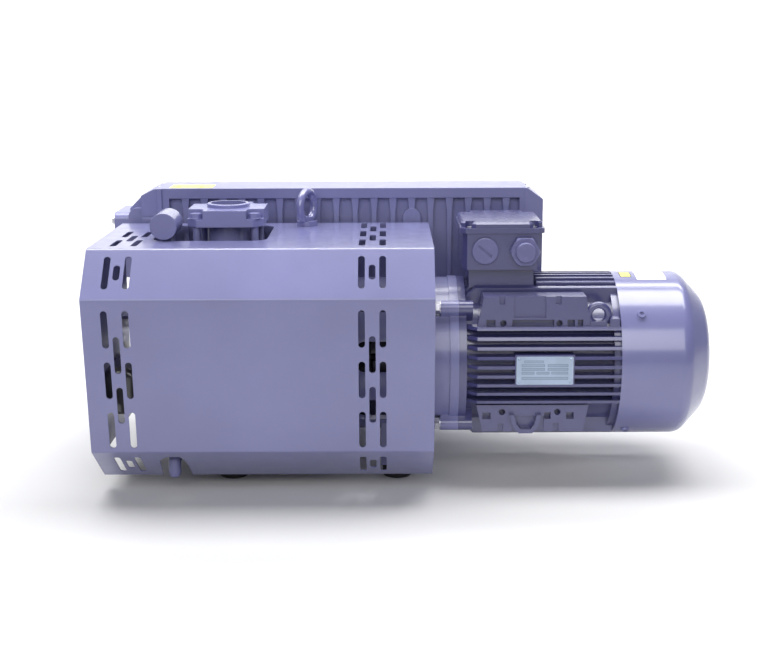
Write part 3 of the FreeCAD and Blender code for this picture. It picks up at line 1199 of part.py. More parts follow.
def motor_bearings():
    """Ball bearings at both ends of the motor shaft."""
    bearings = []
    for x0 in (SHIELD_X0 + 8, REAR_BEARING_X):
        x1 = x0 + BEARING_W
        bearings.append(revolve_x([(x0, SHAFT_R), (x0, 27), (x0 + 2, 28), (x0 + 2, 37), (x0, 38),
                                   (x0, BEARING_R), (x1, BEARING_R), (x1, 38), (x1 - 2, 37),
                                   (x1 - 2, 28), (x1, 27), (x1, SHAFT_R)]))
    return group(bearings)


def rear_shield():
    """Rear end shield that carries the rear bearing and the cowl."""
    lug = box(REAR_X1 - 1, 404, -8, 8, SHAFT_Z + 114, SHAFT_Z + MOTOR_R - 2.7)
    body = fuse([cyl_x(FRAME_X1, REAR_X1, MOTOR_R - 2.3), cyl_x(350, FRAME_X1 + 1, 60.0)]
                + [turned(lug, angle) for angle, _ in COWL_SCREWS])
    tools = [cyl_x(349, REAR_BEARING_X + BEARING_W, BEARING_R),
             cyl_x(REAR_BEARING_X + BEARING_W - 1, REAR_X1 + 1, 22.0)]
    for angle, x in COWL_SCREWS:
        tools.append(turned(cyl_z(SHAFT_Z + 118, SHAFT_Z + 131, M6_CLEAR, x, 0), angle))
    return body.cut(tools)


def motor_fan():
    """Radial fan on the rear shaft end."""
    hub = tube_x(404, 444, 17.0, 30.0)
    disc = tube_x(404, 408, 29.0, 104.0)
    blades = around(box(407, 438, -2, 2, SHAFT_Z + 28, SHAFT_Z + 102), 9)
    return fuse([hub, disc] + blades)


def fan_cowl():
    """Pressed cowl: straight skirt, rounded shoulder and a perforated end face."""
    t = COWL_T
    r = MOTOR_R
    x0 = FRAME_X1
    shell = revolve_x([(x0, r), (COWL_CYL_X1, r), (COWL_X1, COWL_END_R), (COWL_X1, 0),
                       (COWL_X1 - t, 0), (COWL_X1 - t, COWL_END_R - 0.8),
                       (COWL_CYL_X1 - 0.8, r - t), (x0, r - t)])
    bends = ((COWL_CYL_X1, r, COWL_SHOULDER_R), (COWL_CYL_X1 - 0.8, r - t, COWL_SHOULDER_R - t),
             (COWL_X1, COWL_END_R, COWL_RIM_R), (COWL_X1 - t, COWL_END_R - 0.8, COWL_RIM_R - t))
    for x, ring_r, bend_r in bends:
        shell = rounded(shell, bend_r, ring_at(x, ring_r))
    rings = []
    rings.append(cyl_x(COWL_X1 - 4, COWL_X1 + 1, AIR_HOLE_R))
    for k in range(1, 7):
        hole = cyl_x(COWL_X1 - 4, COWL_X1 + 1, AIR_HOLE_R, 12.0 * k)
        rings += around(hole, 6 * k)
    for angle, x in COWL_SCREWS:
        rings.append(turned(cyl_z(SHAFT_Z + r - 6, SHAFT_Z + r + 2, M6_CLEAR, x, 0), angle))
    return shell.cut(rings)


# ---- terminal box --------------------------------------------------------


def terminal_box():
    """Open-topped box on a tapered neck over the motor's cable opening."""
    outer = prism_z(octagon_xy(TB_X0, TB_X1, TB_Y0, TB_Y1, 7), TB_Z0, TB_Z1)
    neck = box(*NECK_X, -NECK_Y, NECK_Y, NECK_Z0, TB_Z0 + 1)
    body = fuse([outer, neck])
    w = TB_WALL
    tools = [box(TB_X0 + w, TB_X1 - w, TB_Y0 + w, TB_Y1 - w, TB_Z0 + w, TB_Z1 + 1),
             box(NECK_X[0] + 10, NECK_X[1] - 10, 12 - NECK_Y, NECK_Y - 12, NECK_Z0 - 1, TB_Z0 + w + 1)]
    tools += [cyl_y(TB_Y0 - 1, TB_Y0 + w + 1, PLUG_HOLE_R, x, PLUG_Z) for x in (ROUND_PLUG_X, HEX_PLUG_X)]
    body = body.cut(tools)
    pillars = [cyl_z(TB_Z0 + 1, TB_Z1, 6.0, x, y) for x, y in lid_screw_places()]
    body = fuse([body] + pillars)
    return body.cut([cyl_z(TB_Z1 - 14, TB_Z1 + 1, 2.6, x, y) for x, y in lid_screw_places()])


def lid_screw_places():
    inset = 12.0
    return corners((TB_X1 - TB_X0) / 2 - inset, (TB_Y1 - TB_Y0) / 2 - inset,
                   (TB_X0 + TB_X1) / 2, (TB_Y0 + TB_Y1) / 2)


def terminal_lid():
    rim = prism_z(octagon_xy(TB_X0 - 4, TB_X1 + 4, TB_Y0 - 4, TB_Y1 + 4, 8), TB_Z1, TB_Z1 + 8)
    top = prism_z(octagon_xy(TB_X0 - 2, TB_X1 + 2, TB_Y0 - 2, TB_Y1 + 2, 22), TB_Z1 + 7, TB_Z1 + 17)
    top_edge = [e for e in top.Edges if abs(e.BoundBox.ZMin - TB_Z1 - 17) < 1e-6]
    top = top.makeChamfer(3.0, top_edge)
    body = fuse([rim, top])
    tools = [box(TB_X0 + 8, TB_X1 - 8, TB_Y0 + 24, TB_Y1 - 24, TB_Z1 - 1, TB_Z1 + 12)]
    for x, y in lid_screw_places():
        tools.append(cyl_z(TB_Z1 - 1, TB_Z1 + 20, 2.9, x, y))
        tools.append(cyl_z(TB_Z1 + 5, TB_Z1 + 20, 8.0, x, y))
    return body.cut(tools)


def lid_screws():
    return group([socket_screw(V(x, y, TB_Z1 + 5), V(0, 0, 1), 2.5, 16.0, 5.0, 4.0)
                  for x, y in lid_screw_places()])


def round_plug():
    """Slotted round blanking plug."""
    y = TB_Y0
    disc = cyl_y(y - 5, y, 21.0, ROUND_PLUG_X, PLUG_Z)
    edge = [e for e in disc.Edges if abs(e.BoundBox.YMin - y + 5) < 1e-6 and e.BoundBox.YLength < 1e-6]
    disc = disc.makeChamfer(1.5, edge)
    slot = Part.makeBox(26, 4, 3.0, V(-13, -2, -1.5))
    slot.rotate(V(0, 0, 0), V(0, 1, 0), 40)
    slot.translate(V(ROUND_PLUG_X, y - 5, PLUG_Z))
    return fuse([disc.cut(slot), cyl_y(y, y + TB_WALL, SPIGOT_R, ROUND_PLUG_X, PLUG_Z)])


def hex_plug():
    """Hexagonal blanking gland with a closed cap."""
    y = TB_Y0
    nut = hexagon(42.0, 14.0, V(HEX_PLUG_X, y, PLUG_Z), V(0, -1, 0))
    nut = nut.common(Part.makeCone(26.5, 20.0, 22, V(HEX_PLUG_X, y + 1, PLUG_Z), V(0, -1, 0)))
    cap = cyl_y(y - 22, y - 10, 15.5, HEX_PLUG_X, PLUG_Z)
    edge = [e for e in cap.Edges if abs(e.BoundBox.YMin - y + 22) < 1e-6 and e.BoundBox.YLength < 1e-6]
    cap = cap.makeFillet(2.0, edge)
    return fuse([nut, cap, cyl_y(y, y + TB_WALL, SPIGOT_R, HEX_PLUG_X, PLUG_Z)])


def terminal_board():
    """Insulating board with six terminal studs."""
    z = TB_Z0 + TB_WALL
    board = box(158, 206, 41, 63, z, z + 10)
    studs = [cyl_z(z + 9, z + 24, 3.0, 166 + 16 * i, 47 + 11 * j) for i in range(3) for j in range(2)]
    return fuse([board] + studs)


def nameplate():
    """Rating plate on its seat across the fins, with four domed rivets."""
    y = -MOTOR_R
    x0, x1 = PLATE_X
    z0, z1 = PLATE_Z
    plate = box(x0, x1, y - 1.2, y, z0, z1)
    plate = rounded(plate, 2.0, along(V(0, 1, 0)))
    rivets = [Part.makeSphere(2.2, V(x, y - 0.6, z)) for x in (x0 + 4, x1 - 4) for z in (z0 + 4, z1 - 4)]
    half = box(x0, x1, y - 5, y, z0, z1)
    return fuse([plate] + [r.common(half) for r in rivets])


NODES = {
    "front_guard": front_guard,
    "guard_stays": guard_stays,
    "button_screws": button_screws,
    "pump_cylinder": pump_cylinder,
    "outer_end_plate": outer_end_plate,
    "drive_end_plate": drive_end_plate,
    "hex_bolts": hex_bolts,
    "bearing_cover": bearing_cover,
    "centring_plug": centring_plug,
    "pump_bearings": pump_bearings,
    "shaft_seal": shaft_seal,
    "pump_rotor": pump_rotor,
    "vane_1": lambda: vane(VANE_ANGLES[0]),
    "vane_2": lambda: vane(VANE_ANGLES[1]),
    "vane_3": lambda: vane(VANE_ANGLES[2]),
    "exhaust_reed": exhaust_reed,
    "reed_stop": reed_stop,
    "inlet_flange": inlet_flange,
    "inlet_bolts": inlet_bolts,
    "inlet_screen": inlet_screen,
    "non_return_valve": non_return_valve,
    "non_return_spring": non_return_spring,
    "ballast_filter": ballast_filter,
    "eye_bolt": eye_bolt,
    "separator_housing": separator_housing,
    "separator_left_cover": separator_left_cover,
    "separator_right_cover": separator_right_cover,
    "cover_screws": cover_screws,
    "exhaust_flange": exhaust_flange,
    "exhaust_filters": exhaust_filters,
    "filter_springs": filter_springs,
    "float_valve": float_valve,
    "oil_sight_glass": oil_sight_glass,
    "oil_fill_plug": oil_fill_plug,
    "oil_drain": oil_drain,
    "oil_filter": oil_filter,
    "oil_pipe": oil_pipe,
    "rubber_feet": rubber_feet,
    "bell_housing": bell_housing,
    "pump_coupling_hub": pump_coupling_hub,
    "motor_coupling_hub": motor_coupling_hub,
    "coupling_spider": coupling_spider,
    "cooling_fan": cooling_fan,
    "flange_bolts": flange_bolts,
    "motor_flange": motor_flange,
    "motor_housing": motor_housing,
    "stator_core": stator_core,
    "stator_windings": stator_windings,
    "motor_rotor": motor_rotor,
    "motor_bearings": motor_bearings,
    "rear_shield": rear_shield,
    "motor_fan": motor_fan,
    "fan_cowl": fan_cowl,
    "terminal_box": terminal_box,
    "terminal_lid": terminal_lid,
    "lid_screws": lid_screws,
    "round_plug": round_plug,
    "hex_plug": hex_plug,
    "terminal_board": terminal_board,
    "nameplate": nameplate,
}


def main():
    os.makedirs("parts", exist_ok=True)
    for name, make in NODES.items():
        shape = make()
        shape.translate(ORIGIN_SHIFT)
        shape.exportStep("parts/" + name + ".step")


main()
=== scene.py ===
import json
import math

import bmesh
import bpy
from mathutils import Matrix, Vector


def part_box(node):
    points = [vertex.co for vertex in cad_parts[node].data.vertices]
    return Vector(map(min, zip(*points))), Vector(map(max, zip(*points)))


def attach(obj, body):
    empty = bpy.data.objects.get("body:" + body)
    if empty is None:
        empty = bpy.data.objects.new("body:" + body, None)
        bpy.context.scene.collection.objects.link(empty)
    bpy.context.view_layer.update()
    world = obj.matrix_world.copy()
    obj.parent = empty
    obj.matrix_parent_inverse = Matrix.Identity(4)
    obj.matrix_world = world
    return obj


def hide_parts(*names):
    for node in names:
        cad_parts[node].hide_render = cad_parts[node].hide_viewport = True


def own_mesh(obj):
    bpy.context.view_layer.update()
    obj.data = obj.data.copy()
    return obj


# Rotary vane vacuum pump: bent sheet guard, ribbed oil separator, finned motor.
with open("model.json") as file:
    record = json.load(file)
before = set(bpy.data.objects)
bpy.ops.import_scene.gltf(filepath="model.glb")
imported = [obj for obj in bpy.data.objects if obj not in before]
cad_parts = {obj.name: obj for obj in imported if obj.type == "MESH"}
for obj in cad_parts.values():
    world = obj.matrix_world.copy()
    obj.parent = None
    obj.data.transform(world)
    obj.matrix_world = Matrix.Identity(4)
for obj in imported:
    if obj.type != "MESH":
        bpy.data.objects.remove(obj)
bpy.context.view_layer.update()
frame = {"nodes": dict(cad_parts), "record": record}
NODES = frame["nodes"]
SCENE = bpy.context.scene

# ---- camera --------------------------------------------------------------
CAMERA_PLACE = (-0.0165, -2.1341, 0.695)
CAMERA_PITCH = 12.3        # degrees below the horizon
CAMERA_ROLL = 0.2          # degrees
FOCAL_MM = 60.6
SENSOR_MM = 36.0
CLIP_NEAR, CLIP_FAR = 0.05, 60.0

camera_data = bpy.data.cameras.new("camera")
camera_data.lens = FOCAL_MM
camera_data.sensor_width = SENSOR_MM
camera_data.clip_start = CLIP_NEAR
camera_data.clip_end = CLIP_FAR
camera = bpy.data.objects.new("camera", camera_data)
SCENE.collection.objects.link(camera)
camera.location = CAMERA_PLACE
camera.rotation_mode = "XYZ"
camera.rotation_euler = (math.radians(90.0 - CAMERA_PITCH), math.radians(CAMERA_ROLL), 0.0)
SCENE.camera = camera
SCENE.view_settings.view_transform = "Standard"


# ---- colours -------------------------------------------------------------
def srgb(r, g, b):
    """Linear colour from 0-255 display values."""
    def linear(c):
        c = c / 255.0
        return c / 12.92 if c <= 0.04045 else ((c + 0.055) / 1.055) ** 2.4
    return (linear(r), linear(g), linear(b), 1.0)


def shade(colour, factor):
    """The same hue, lighter or darker."""
    return tuple(min(1.0, c * factor) for c in colour[:3]) + (1.0,)


PAINT = srgb(110, 111, 158)
# The motor frame's enamel is the same colour darkened: painted shade.
SHADED_MOTOR_PAINT = srgb(66, 66, 116)

# ---- materials -----------------------------------------------------------
NOISE_RANGE = (0.3, 0.7)         # where most of a noise texture's values lie
BEVEL_SAMPLES = 4
EDGE_RANGE = (0.85, 0.995)       # cosine between bevelled and true normal: at an edge, off it
# Edges lighten as a painted highlight, partly rubbed wear.
EDGE_HIGHLIGHT_AND_WEAR = 0.55                 # how far paint lightens right on an edge
EDGE_LIGHTEN = 1.25              # gain on top of each paint's own edge gain
SPECK_RANGE = (0.62, 0.78)       # only a noise's peaks become specks
SPECK_SHARE, SPECK_GAIN = 0.10, 1.5
DUST_RANGE = (0.55, 0.8)
DUST_SHARE, DUST_GAIN = 0.25, 2.2
COAT_IOR = 1.6
COAT_ROUGH_SHARE = 0.40          # the coat's roughness against the enamel's
METAL_EDGE_R = 0.0005            # metres
MOULDED_EDGE_R = 0.0008

# Heights that full bump strength stands for, in metres.
PAINT_GRAIN, CAST_LUMPS, FINE_GRAIN = 0.0006, 0.0015, 0.0003
BAND_STEP, FIBRE_STEP, FILM_GRAIN = 0.0006, 0.0008, 0.0002


class Tree:
    """A material's node tree with a Principled shader."""

    def __init__(self, name):
        self.mat = bpy.data.materials.new(name)
        self.mat.use_nodes = True
        self.nodes = self.mat.node_tree.nodes
        self.nodes.clear()
        self.bsdf = self.add("ShaderNodeBsdfPrincipled")
        out = self.add("ShaderNodeOutputMaterial")
        self.link(self.bsdf.outputs[0], out.inputs["Surface"])
        self.place = self.add("ShaderNodeTexCoord").outputs["Object"]

    def add(self, kind, **settings):
        node = self.nodes.new(kind)
        for key, value in settings.items():
            setattr(node, key, value)
        return node

    def link(self, source, target):
        self.mat.node_tree.links.new(source, target)

    def drive(self, source, socket):
        """Link a node's output to a socket of the shader."""
        self.link(source, self.bsdf.inputs[socket])

    def fix(self, socket, value):
        """Set a value that is the same all over on the shader itself."""
        self.bsdf.inputs[socket].default_value = value

    def stretched(self, scale):
        node = self.add("ShaderNodeMapping")
        node.inputs["Scale"].default_value = scale
        self.link(self.place, node.inputs["Vector"])
        return node.outputs[0]

    def noise(self, scale, detail=3.0, rough=0.55, place=None):
        node = self.add("ShaderNodeTexNoise")
        node.inputs["Scale"].default_value = scale
        node.inputs["Detail"].default_value = detail
        node.inputs["Roughness"].default_value = rough
        self.link(place or self.place, node.inputs["Vector"])
        return node.outputs["Fac"]

    def wave(self, scale, direction, distortion):
        node = self.add("ShaderNodeTexWave", wave_type="BANDS", bands_direction=direction)
        node.inputs["Scale"].default_value = scale
        node.inputs["Distortion"].default_value = distortion
        self.link(self.place, node.inputs["Vector"])
        return node.outputs["Fac"]

    def remap(self, value, low, high, source=NOISE_RANGE):
        """Map the source range onto low to high, clamped."""
        node = self.add("ShaderNodeMapRange")
        node.inputs["From Min"].default_value = source[0]
        node.inputs["From Max"].default_value = source[1]
        node.inputs["To Min"].default_value = low
        node.inputs["To Max"].default_value = high
        self.link(value, node.inputs["Value"])
        return node.outputs["Result"]

    def mix(self, fac, a, b):
        """Between a and b, each a colour or a node's output."""
        node = self.add("ShaderNodeMix", data_type="RGBA")
        self.link(fac, node.inputs["Factor"])
        for name, value in (("A", a), ("B", b)):
            socket = next(s for s in node.inputs if s.type == "RGBA" and s.name == name)
            if isinstance(value, tuple):
                socket.default_value = value
            else:
                self.link(value, socket)
        return next(s for s in node.outputs if s.type == "RGBA")

    def cloudy(self, colour, darkest, palest, scale, detail=3.0):
        """The colour in soft patches, from darkest to palest as factors of it."""
        cloud = self.remap(self.noise(scale, detail), 0.0, 1.0)
        return self.mix(cloud, shade(colour, darkest), shade(colour, palest))

    def uneven_rough(self, low, high, scale):
        """Roughness that varies over the surface."""
        self.drive(self.remap(self.noise(scale), low, high), "Roughness")

    def softened(self, radius):
        """Normal that rounds off sharp edges."""
        bevel = self.add("ShaderNodeBevel", samples=BEVEL_SAMPLES)
        bevel.inputs["Radius"].default_value = radius
        return bevel.outputs[0]

    def edge_highlight_and_wear(self, normal):
        """How much painted highlight, partly rubbed wear, the point gets from how far its softened
        normal leans.
        """
        geometry = self.add("ShaderNodeNewGeometry")
        dot = self.add("ShaderNodeVectorMath", operation="DOT_PRODUCT")
        self.link(normal, dot.inputs[0])
        self.link(geometry.outputs["Normal"], dot.inputs[1])
        return self.remap(dot.outputs["Value"], EDGE_HIGHLIGHT_AND_WEAR, 0.0, EDGE_RANGE)

    def bump(self, height, strength, distance, normal=None):
        node = self.add("ShaderNodeBump")
        node.inputs["Strength"].default_value = strength
        node.inputs["Distance"].default_value = distance
        self.link(height, node.inputs["Height"])
        if normal is not None:
            self.link(normal, node.inputs["Normal"])
        return node.outputs[0]


def paint(name, colour, rough, grain, depth, edge_radius=0.0010, edge_gain=1.25, lumps=0.0,
          gloss=1.0):
    """Enamel: cloudy colour, specks, lighter edges as a painted highlight that is partly rubbed
    wear, orange peel or cast grain, coat.
    """
    t = Tree(name)
    base = t.cloudy(colour, 0.93, 1.07, scale=7.0, detail=4.0)
    specks = t.remap(t.noise(scale=420.0, detail=2.0), 0.0, SPECK_SHARE, SPECK_RANGE)
    base = t.mix(specks, base, shade(colour, SPECK_GAIN))
    normal = t.softened(edge_radius)
    # Lighter edges: painted highlight, partly rubbed wear.
    base = t.mix(t.edge_highlight_and_wear(normal), base, shade(colour, edge_gain * EDGE_LIGHTEN))
    t.drive(base, "Base Color")
    t.uneven_rough(rough - 0.05, rough + 0.07, scale=30.0)
    t.fix("Specular IOR Level", 0.5)
    t.fix("Coat Weight", gloss)
    t.fix("Coat IOR", COAT_IOR)
    t.fix("Coat Roughness", rough * COAT_ROUGH_SHARE)
    bumped = t.bump(t.noise(grain, rough=0.6), depth, PAINT_GRAIN, normal)
    if lumps:
        bumped = t.bump(t.noise(scale=60.0, detail=2.0), lumps, CAST_LUMPS, bumped)
    t.drive(bumped, "Normal")
    return t.mat


def metal(name, colour, rough, brush=(40.0, 900.0, 900.0), depth=0.12, metallic=1.0):
    """Ground or plated metal with fine streaks along the brush's smallest scale."""
    t = Tree(name)
    streak = t.noise(scale=1.0, rough=0.6, place=t.stretched(brush))
    t.drive(t.cloudy(colour, 0.86, 1.08, scale=22.0, detail=4.0), "Base Color")
    t.drive(t.remap(streak, rough - 0.08, rough + 0.12), "Roughness")
    t.fix("Metallic", metallic)
    t.drive(t.bump(streak, depth, FINE_GRAIN, t.softened(METAL_EDGE_R)), "Normal")
    return t.mat


def moulded(name, colour, rough, grain=1400.0, depth=0.15, spread=0.10):
    """Rubber or moulded plastic with a fine grain and a little dust."""
    t = Tree(name)
    base = t.cloudy(colour, 1.0 - spread, 1.0 + spread, scale=18.0)
    dust = t.remap(t.noise(scale=90.0, detail=5.0, rough=0.7), 0.0, DUST_SHARE, DUST_RANGE)
    t.drive(t.mix(dust, base, shade(colour, DUST_GAIN)), "Base Color")
    t.uneven_rough(rough - 0.06, rough + 0.08, scale=60.0)
    normal = t.softened(MOULDED_EDGE_R)
    t.drive(t.bump(t.noise(grain, detail=2.0), depth, FINE_GRAIN, normal), "Normal")
    return t.mat


def banded(name, colour, rough, scale, direction, metallic, depth):
    """Stacked sheets, wound wire or laminated fibre: regular bands along one axis."""
    t = Tree(name)
    band = t.wave(scale, direction, distortion=0.4)
    base = t.mix(band, shade(colour, 0.5), shade(colour, 1.05))
    stain = t.remap(t.noise(scale=25.0), 0.0, 0.3)
    t.drive(t.mix(stain, base, shade(colour, 0.7)), "Base Color")
    t.uneven_rough(rough - 0.08, rough + 0.08, scale=80.0)
    t.fix("Metallic", metallic)
    t.drive(t.bump(band, depth, BAND_STEP), "Normal")
    return t.mat


def fleece(name, colour):
    """Wound glass-fibre fleece."""
    t = Tree(name)
    fibre = t.noise(scale=1.0, detail=5.0, rough=0.7, place=t.stretched((1200.0, 260.0, 260.0)))
    base = t.mix(t.remap(fibre, 0.0, 1.0), shade(colour, 0.78), shade(colour, 1.1))
    t.drive(base, "Base Color")
    t.fix("Roughness", 0.95)
    t.fix("Sheen Weight", 0.3)
    t.drive(t.bump(fibre, 0.6, FIBRE_STEP), "Normal")
    return t.mat


def lens(name):
    """Clear sight glass lens over warm oil."""
    t = Tree(name)
    oil = t.remap(t.noise(scale=35.0), 0.0, 1.0)
    t.drive(t.mix(oil, srgb(205, 200, 150), srgb(225, 225, 190)), "Base Color")
    t.uneven_rough(0.03, 0.12, scale=120.0)
    t.fix("Transmission Weight", 0.7)
    t.fix("IOR", 1.47)
    return t.mat


def printed(name, colour):
    """Printed film, slightly uneven."""
    t = Tree(name)
    t.drive(t.cloudy(colour, 0.94, 1.03, scale=60.0), "Base Color")
    t.uneven_rough(0.40, 0.50, scale=140.0)
    t.drive(t.bump(t.noise(scale=900.0), 0.05, FILM_GRAIN), "Normal")
    return t.mat


SLOTS = {
    "guard_paint": paint("guard_enamel", PAINT, 0.42, grain=520.0, depth=0.10),
    "cast_paint": paint("cast_enamel", shade(PAINT, 1.06), 0.50, grain=380.0, depth=0.30,
                        edge_radius=0.0016, edge_gain=1.2, lumps=0.12, gloss=0.7),
    "motor_paint": paint("frame_enamel_painted_shade", SHADED_MOTOR_PAINT, 0.44, grain=460.0, depth=0.22,
                         edge_gain=1.2, lumps=0.08),
    "cowl_paint": paint("cowl_enamel", PAINT, 0.40, grain=520.0, depth=0.08),
    "filter_can": paint("can_enamel", srgb(40, 40, 46), 0.35, grain=520.0, depth=0.06),
    "cast_bare": metal("machined_iron", srgb(120, 120, 122), 0.45, (500.0, 60.0, 60.0), 0.2),
    "steel": metal("ground_steel", srgb(176, 176, 180), 0.33),
    "bright_steel": metal("plated_steel", srgb(196, 196, 206), 0.34, (300.0, 300.0, 40.0), 0.08),
    "bronze": metal("bearing_bronze", srgb(176, 138, 82), 0.38),
    "float_metal": metal("drawn_stainless", srgb(200, 200, 198), 0.22, (120.0, 120.0, 120.0),
                         0.05),
    "plate_metal": metal("anodised_plate", srgb(176, 192, 214), 0.38, (60.0, 700.0, 1400.0),
                         0.06, metallic=0.55),
    "laminations": banded("sheet_stack", srgb(110, 110, 114), 0.5, 160.0, "X", 0.9, 0.5),
    "copper": banded("wound_copper", srgb(168, 92, 52), 0.35, 120.0, "X", 0.6, 0.8),
    "composite": banded("fibre_composite", srgb(44, 44, 48), 0.45, 300.0, "Z", 0.0, 0.25),
    "rubber": moulded("black_rubber", srgb(34, 34, 38), 0.75),
    "plastic_black": moulded("black_moulding", srgb(40, 40, 46), 0.5),
    "plastic_grey": moulded("grey_moulding", srgb(104, 104, 148), 0.42, 1100.0, 0.10, 0.06),
    "filter_media": fleece("glass_fleece", srgb(222, 218, 200)),
    "sight_glass": lens("oil_lens"),
}
# Near-black enamel on the inner parts behind the guard's slots: painted shade.
PAINTED_SHADE_INSIDE = paint("inner_enamel_painted_shade", srgb(52, 50, 72), 0.5, grain=300.0, depth=0.35,
               edge_radius=0.0012, edge_gain=1.2, lumps=0.15, gloss=0.3)
GLOSSY = paint("forged_enamel", srgb(112, 112, 160), 0.30, grain=260.0, depth=0.25,
               edge_radius=0.0012, edge_gain=1.2, lumps=0.25)
# Nodes whose paint looks unlike the rest of their slot: painted shade on the inner parts, a
# glossier enamel on the eye bolt.
OWN_LOOK = {"pump_cylinder": PAINTED_SHADE_INSIDE, "outer_end_plate": PAINTED_SHADE_INSIDE, "drive_end_plate": PAINTED_SHADE_INSIDE,
            "bearing_cover": PAINTED_SHADE_INSIDE, "eye_bolt": GLOSSY}
for part in frame["record"]["subparts"]:
    mesh = NODES[part["node"]].data
    mesh.materials.clear()
    mesh.materials.append(OWN_LOOK.get(part["node"], SLOTS[part["material_slot"]]))

YELLOW = printed("yellow_film", srgb(238, 236, 120))
WHITE = printed("white_film", srgb(232, 232, 238))
DARK = printed("dark_film", srgb(52, 52, 62))
FIELD = printed("plate_field", srgb(150, 166, 188))
FIELD_RIM = printed("plate_field_rim", srgb(112, 128, 152))

# ---- labels --------------------------------------------------------------
FILM_LIFT = 0.0003               # thickness of a film
CORNER_CLIP = 0.45               # how far a film's corners are cut, in borders


def steps(length, border, count):
    """Grid lines across a label: its edge, its border's inner edge, even steps between."""
    inner = [border + (length - 2 * border) * i / count for i in range(count + 1)]
    return [0.0] + inner + [length]


def film(name, width, depth, place, face, rim, slot, border=0.0012, count=(6, 8)):
    """Printed label with a border and clipped corners; place(u, v, w) lays it on a surface."""
    us, vs = steps(width, border, count[0]), steps(depth, border, count[1])
    last_i, last_j = len(us) - 1, len(vs) - 1
    bm = bmesh.new()
    low, top = [], []
    for i, u in enumerate(us):
        low.append([])
        top.append([])
        for j, v in enumerate(vs):
            u_in, v_in = u, v
            if i in (0, last_i) and j in (0, last_j):
                u_in = u + math.copysign(border * CORNER_CLIP, width / 2 - u)
                v_in = v + math.copysign(border * CORNER_CLIP, depth / 2 - v)
            low[i].append(bm.verts.new(place(u_in, v_in, 0.0)))
            top[i].append(bm.verts.new(place(u_in, v_in, FILM_LIFT)))
    for i in range(last_i):
        for j in range(last_j):
            quad = bm.faces.new((top[i][j], top[i + 1][j], top[i + 1][j + 1], top[i][j + 1]))
            on_border = i in (0, last_i - 1) or j in (0, last_j - 1)
            quad.material_index = 1 if on_border else 0
    around = [(i, 0) for i in range(last_i)] + [(last_i, j) for j in range(last_j)]
    around += [(i, last_j) for i in range(last_i, 0, -1)]
    around += [(0, j) for j in range(last_j, 0, -1)]
    for (i, j), (m, n) in zip(around, around[1:] + around[:1]):
        side = bm.faces.new((low[i][j], low[m][n], top[m][n], top[i][j]))
        side.material_index = 1
    bmesh.ops.recalc_face_normals(bm, faces=bm.faces)
    mesh = bpy.data.meshes.new(name)
    bm.to_mesh(mesh)
    bm.free()
    obj = bpy.data.objects.new(name, mesh)
    SCENE.collection.objects.link(obj)
    mesh.materials.append(face)
    mesh.materials.append(rim)
    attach(obj, "pump_body")


# Blank label on the separator's top, with two plain marks.
SEPARATOR_LABEL = (0.074, 0.050)
LABEL_INSET = (0.011, 0.012)     # from the housing's left and front faces
MARK_SIZE = (0.006, 0.010)
MARK_UP = 0.008                  # from the label's front edge
MARK_BORDER = 0.0008
MARKS = (("separator_mark_1", 0.012), ("separator_mark_2", 0.050))   # from its left edge

separator_low, separator_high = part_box("separator_housing")
label_x, label_y = separator_low.x + LABEL_INSET[0], separator_low.y + LABEL_INSET[1]


def on_separator(x, y, base=0.0):
    return lambda u, v, w: Vector((x + u, y + v, separator_high.z + base + w))


film("separator_label", *SEPARATOR_LABEL, on_separator(label_x, label_y), YELLOW, YELLOW,
     "guard_paint")
for mark, mark_x in MARKS:
    film(mark, *MARK_SIZE, on_separator(label_x + mark_x, label_y + MARK_UP, FILM_LIFT),
         DARK, DARK, "guard_paint", MARK_BORDER, (2, 2))

# Blank labels on the cowl: name, width, depth, distance from the cowl's left rim, start in
# degrees from the top towards the front, face, border's look, border.
COWL_LABELS = (
    ("cowl_label_yellow", 0.018, 0.026, 0.011, 1.0, YELLOW, DARK, 0.0012),
    ("cowl_label_white", 0.047, 0.044, 0.036, -2.0, WHITE, WHITE, 0.0010),
)
COWL_GAP = 0.00005               # keeps the flat facets of a film off the cowl

cowl_low, cowl_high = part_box("fan_cowl")
COWL_AXIS = ((cowl_low.y + cowl_high.y) / 2, (cowl_low.z + cowl_high.z) / 2)
COWL_RADIUS = (cowl_high.z - cowl_low.z) / 2


def on_cowl(x, start):
    """Start is the angle from the top towards the front; v runs down the front."""
    def place(u, v, w):
        a = math.radians(start) + v / COWL_RADIUS
        r = COWL_RADIUS + COWL_GAP + w
        return Vector((x + u, COWL_AXIS[0] - r * math.sin(a), COWL_AXIS[1] + r * math.cos(a)))
    return place


for label, width, depth, from_rim, start, face, rim, border in COWL_LABELS:
    film(label, width, depth, on_cowl(cowl_low.x + from_rim, start), face, rim,
         "cowl_paint", border)

# Blank fields on the rating plate, row by row: height of the row, then each field's distance
# from the plate's left edge and its width.
FIELD_ROWS = (
    (0.0345, ((0.012, 0.030),)),
    (0.0285, ((0.008, 0.036), (0.048, 0.032))),
    (0.0225, ((0.008, 0.036), (0.048, 0.032))),
    (0.0165, ((0.008, 0.020), (0.031, 0.020), (0.054, 0.026))),
    (0.0080, ((0.008, 0.072),)),
)
FIELD_HEIGHT = 0.0042
FIELD_BORDER = 0.0006
FIELD_THIN = 0.5                 # a field's thickness against a film's
RIVET_PROUD = 0.0016             # how far the rivet heads stand in front of the plate

plate_low, plate_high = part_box("nameplate")
plate_front = plate_low.y + RIVET_PROUD


def on_plate(x, z):
    return lambda u, v, w: Vector((x + u, plate_front - w * FIELD_THIN, z + v))


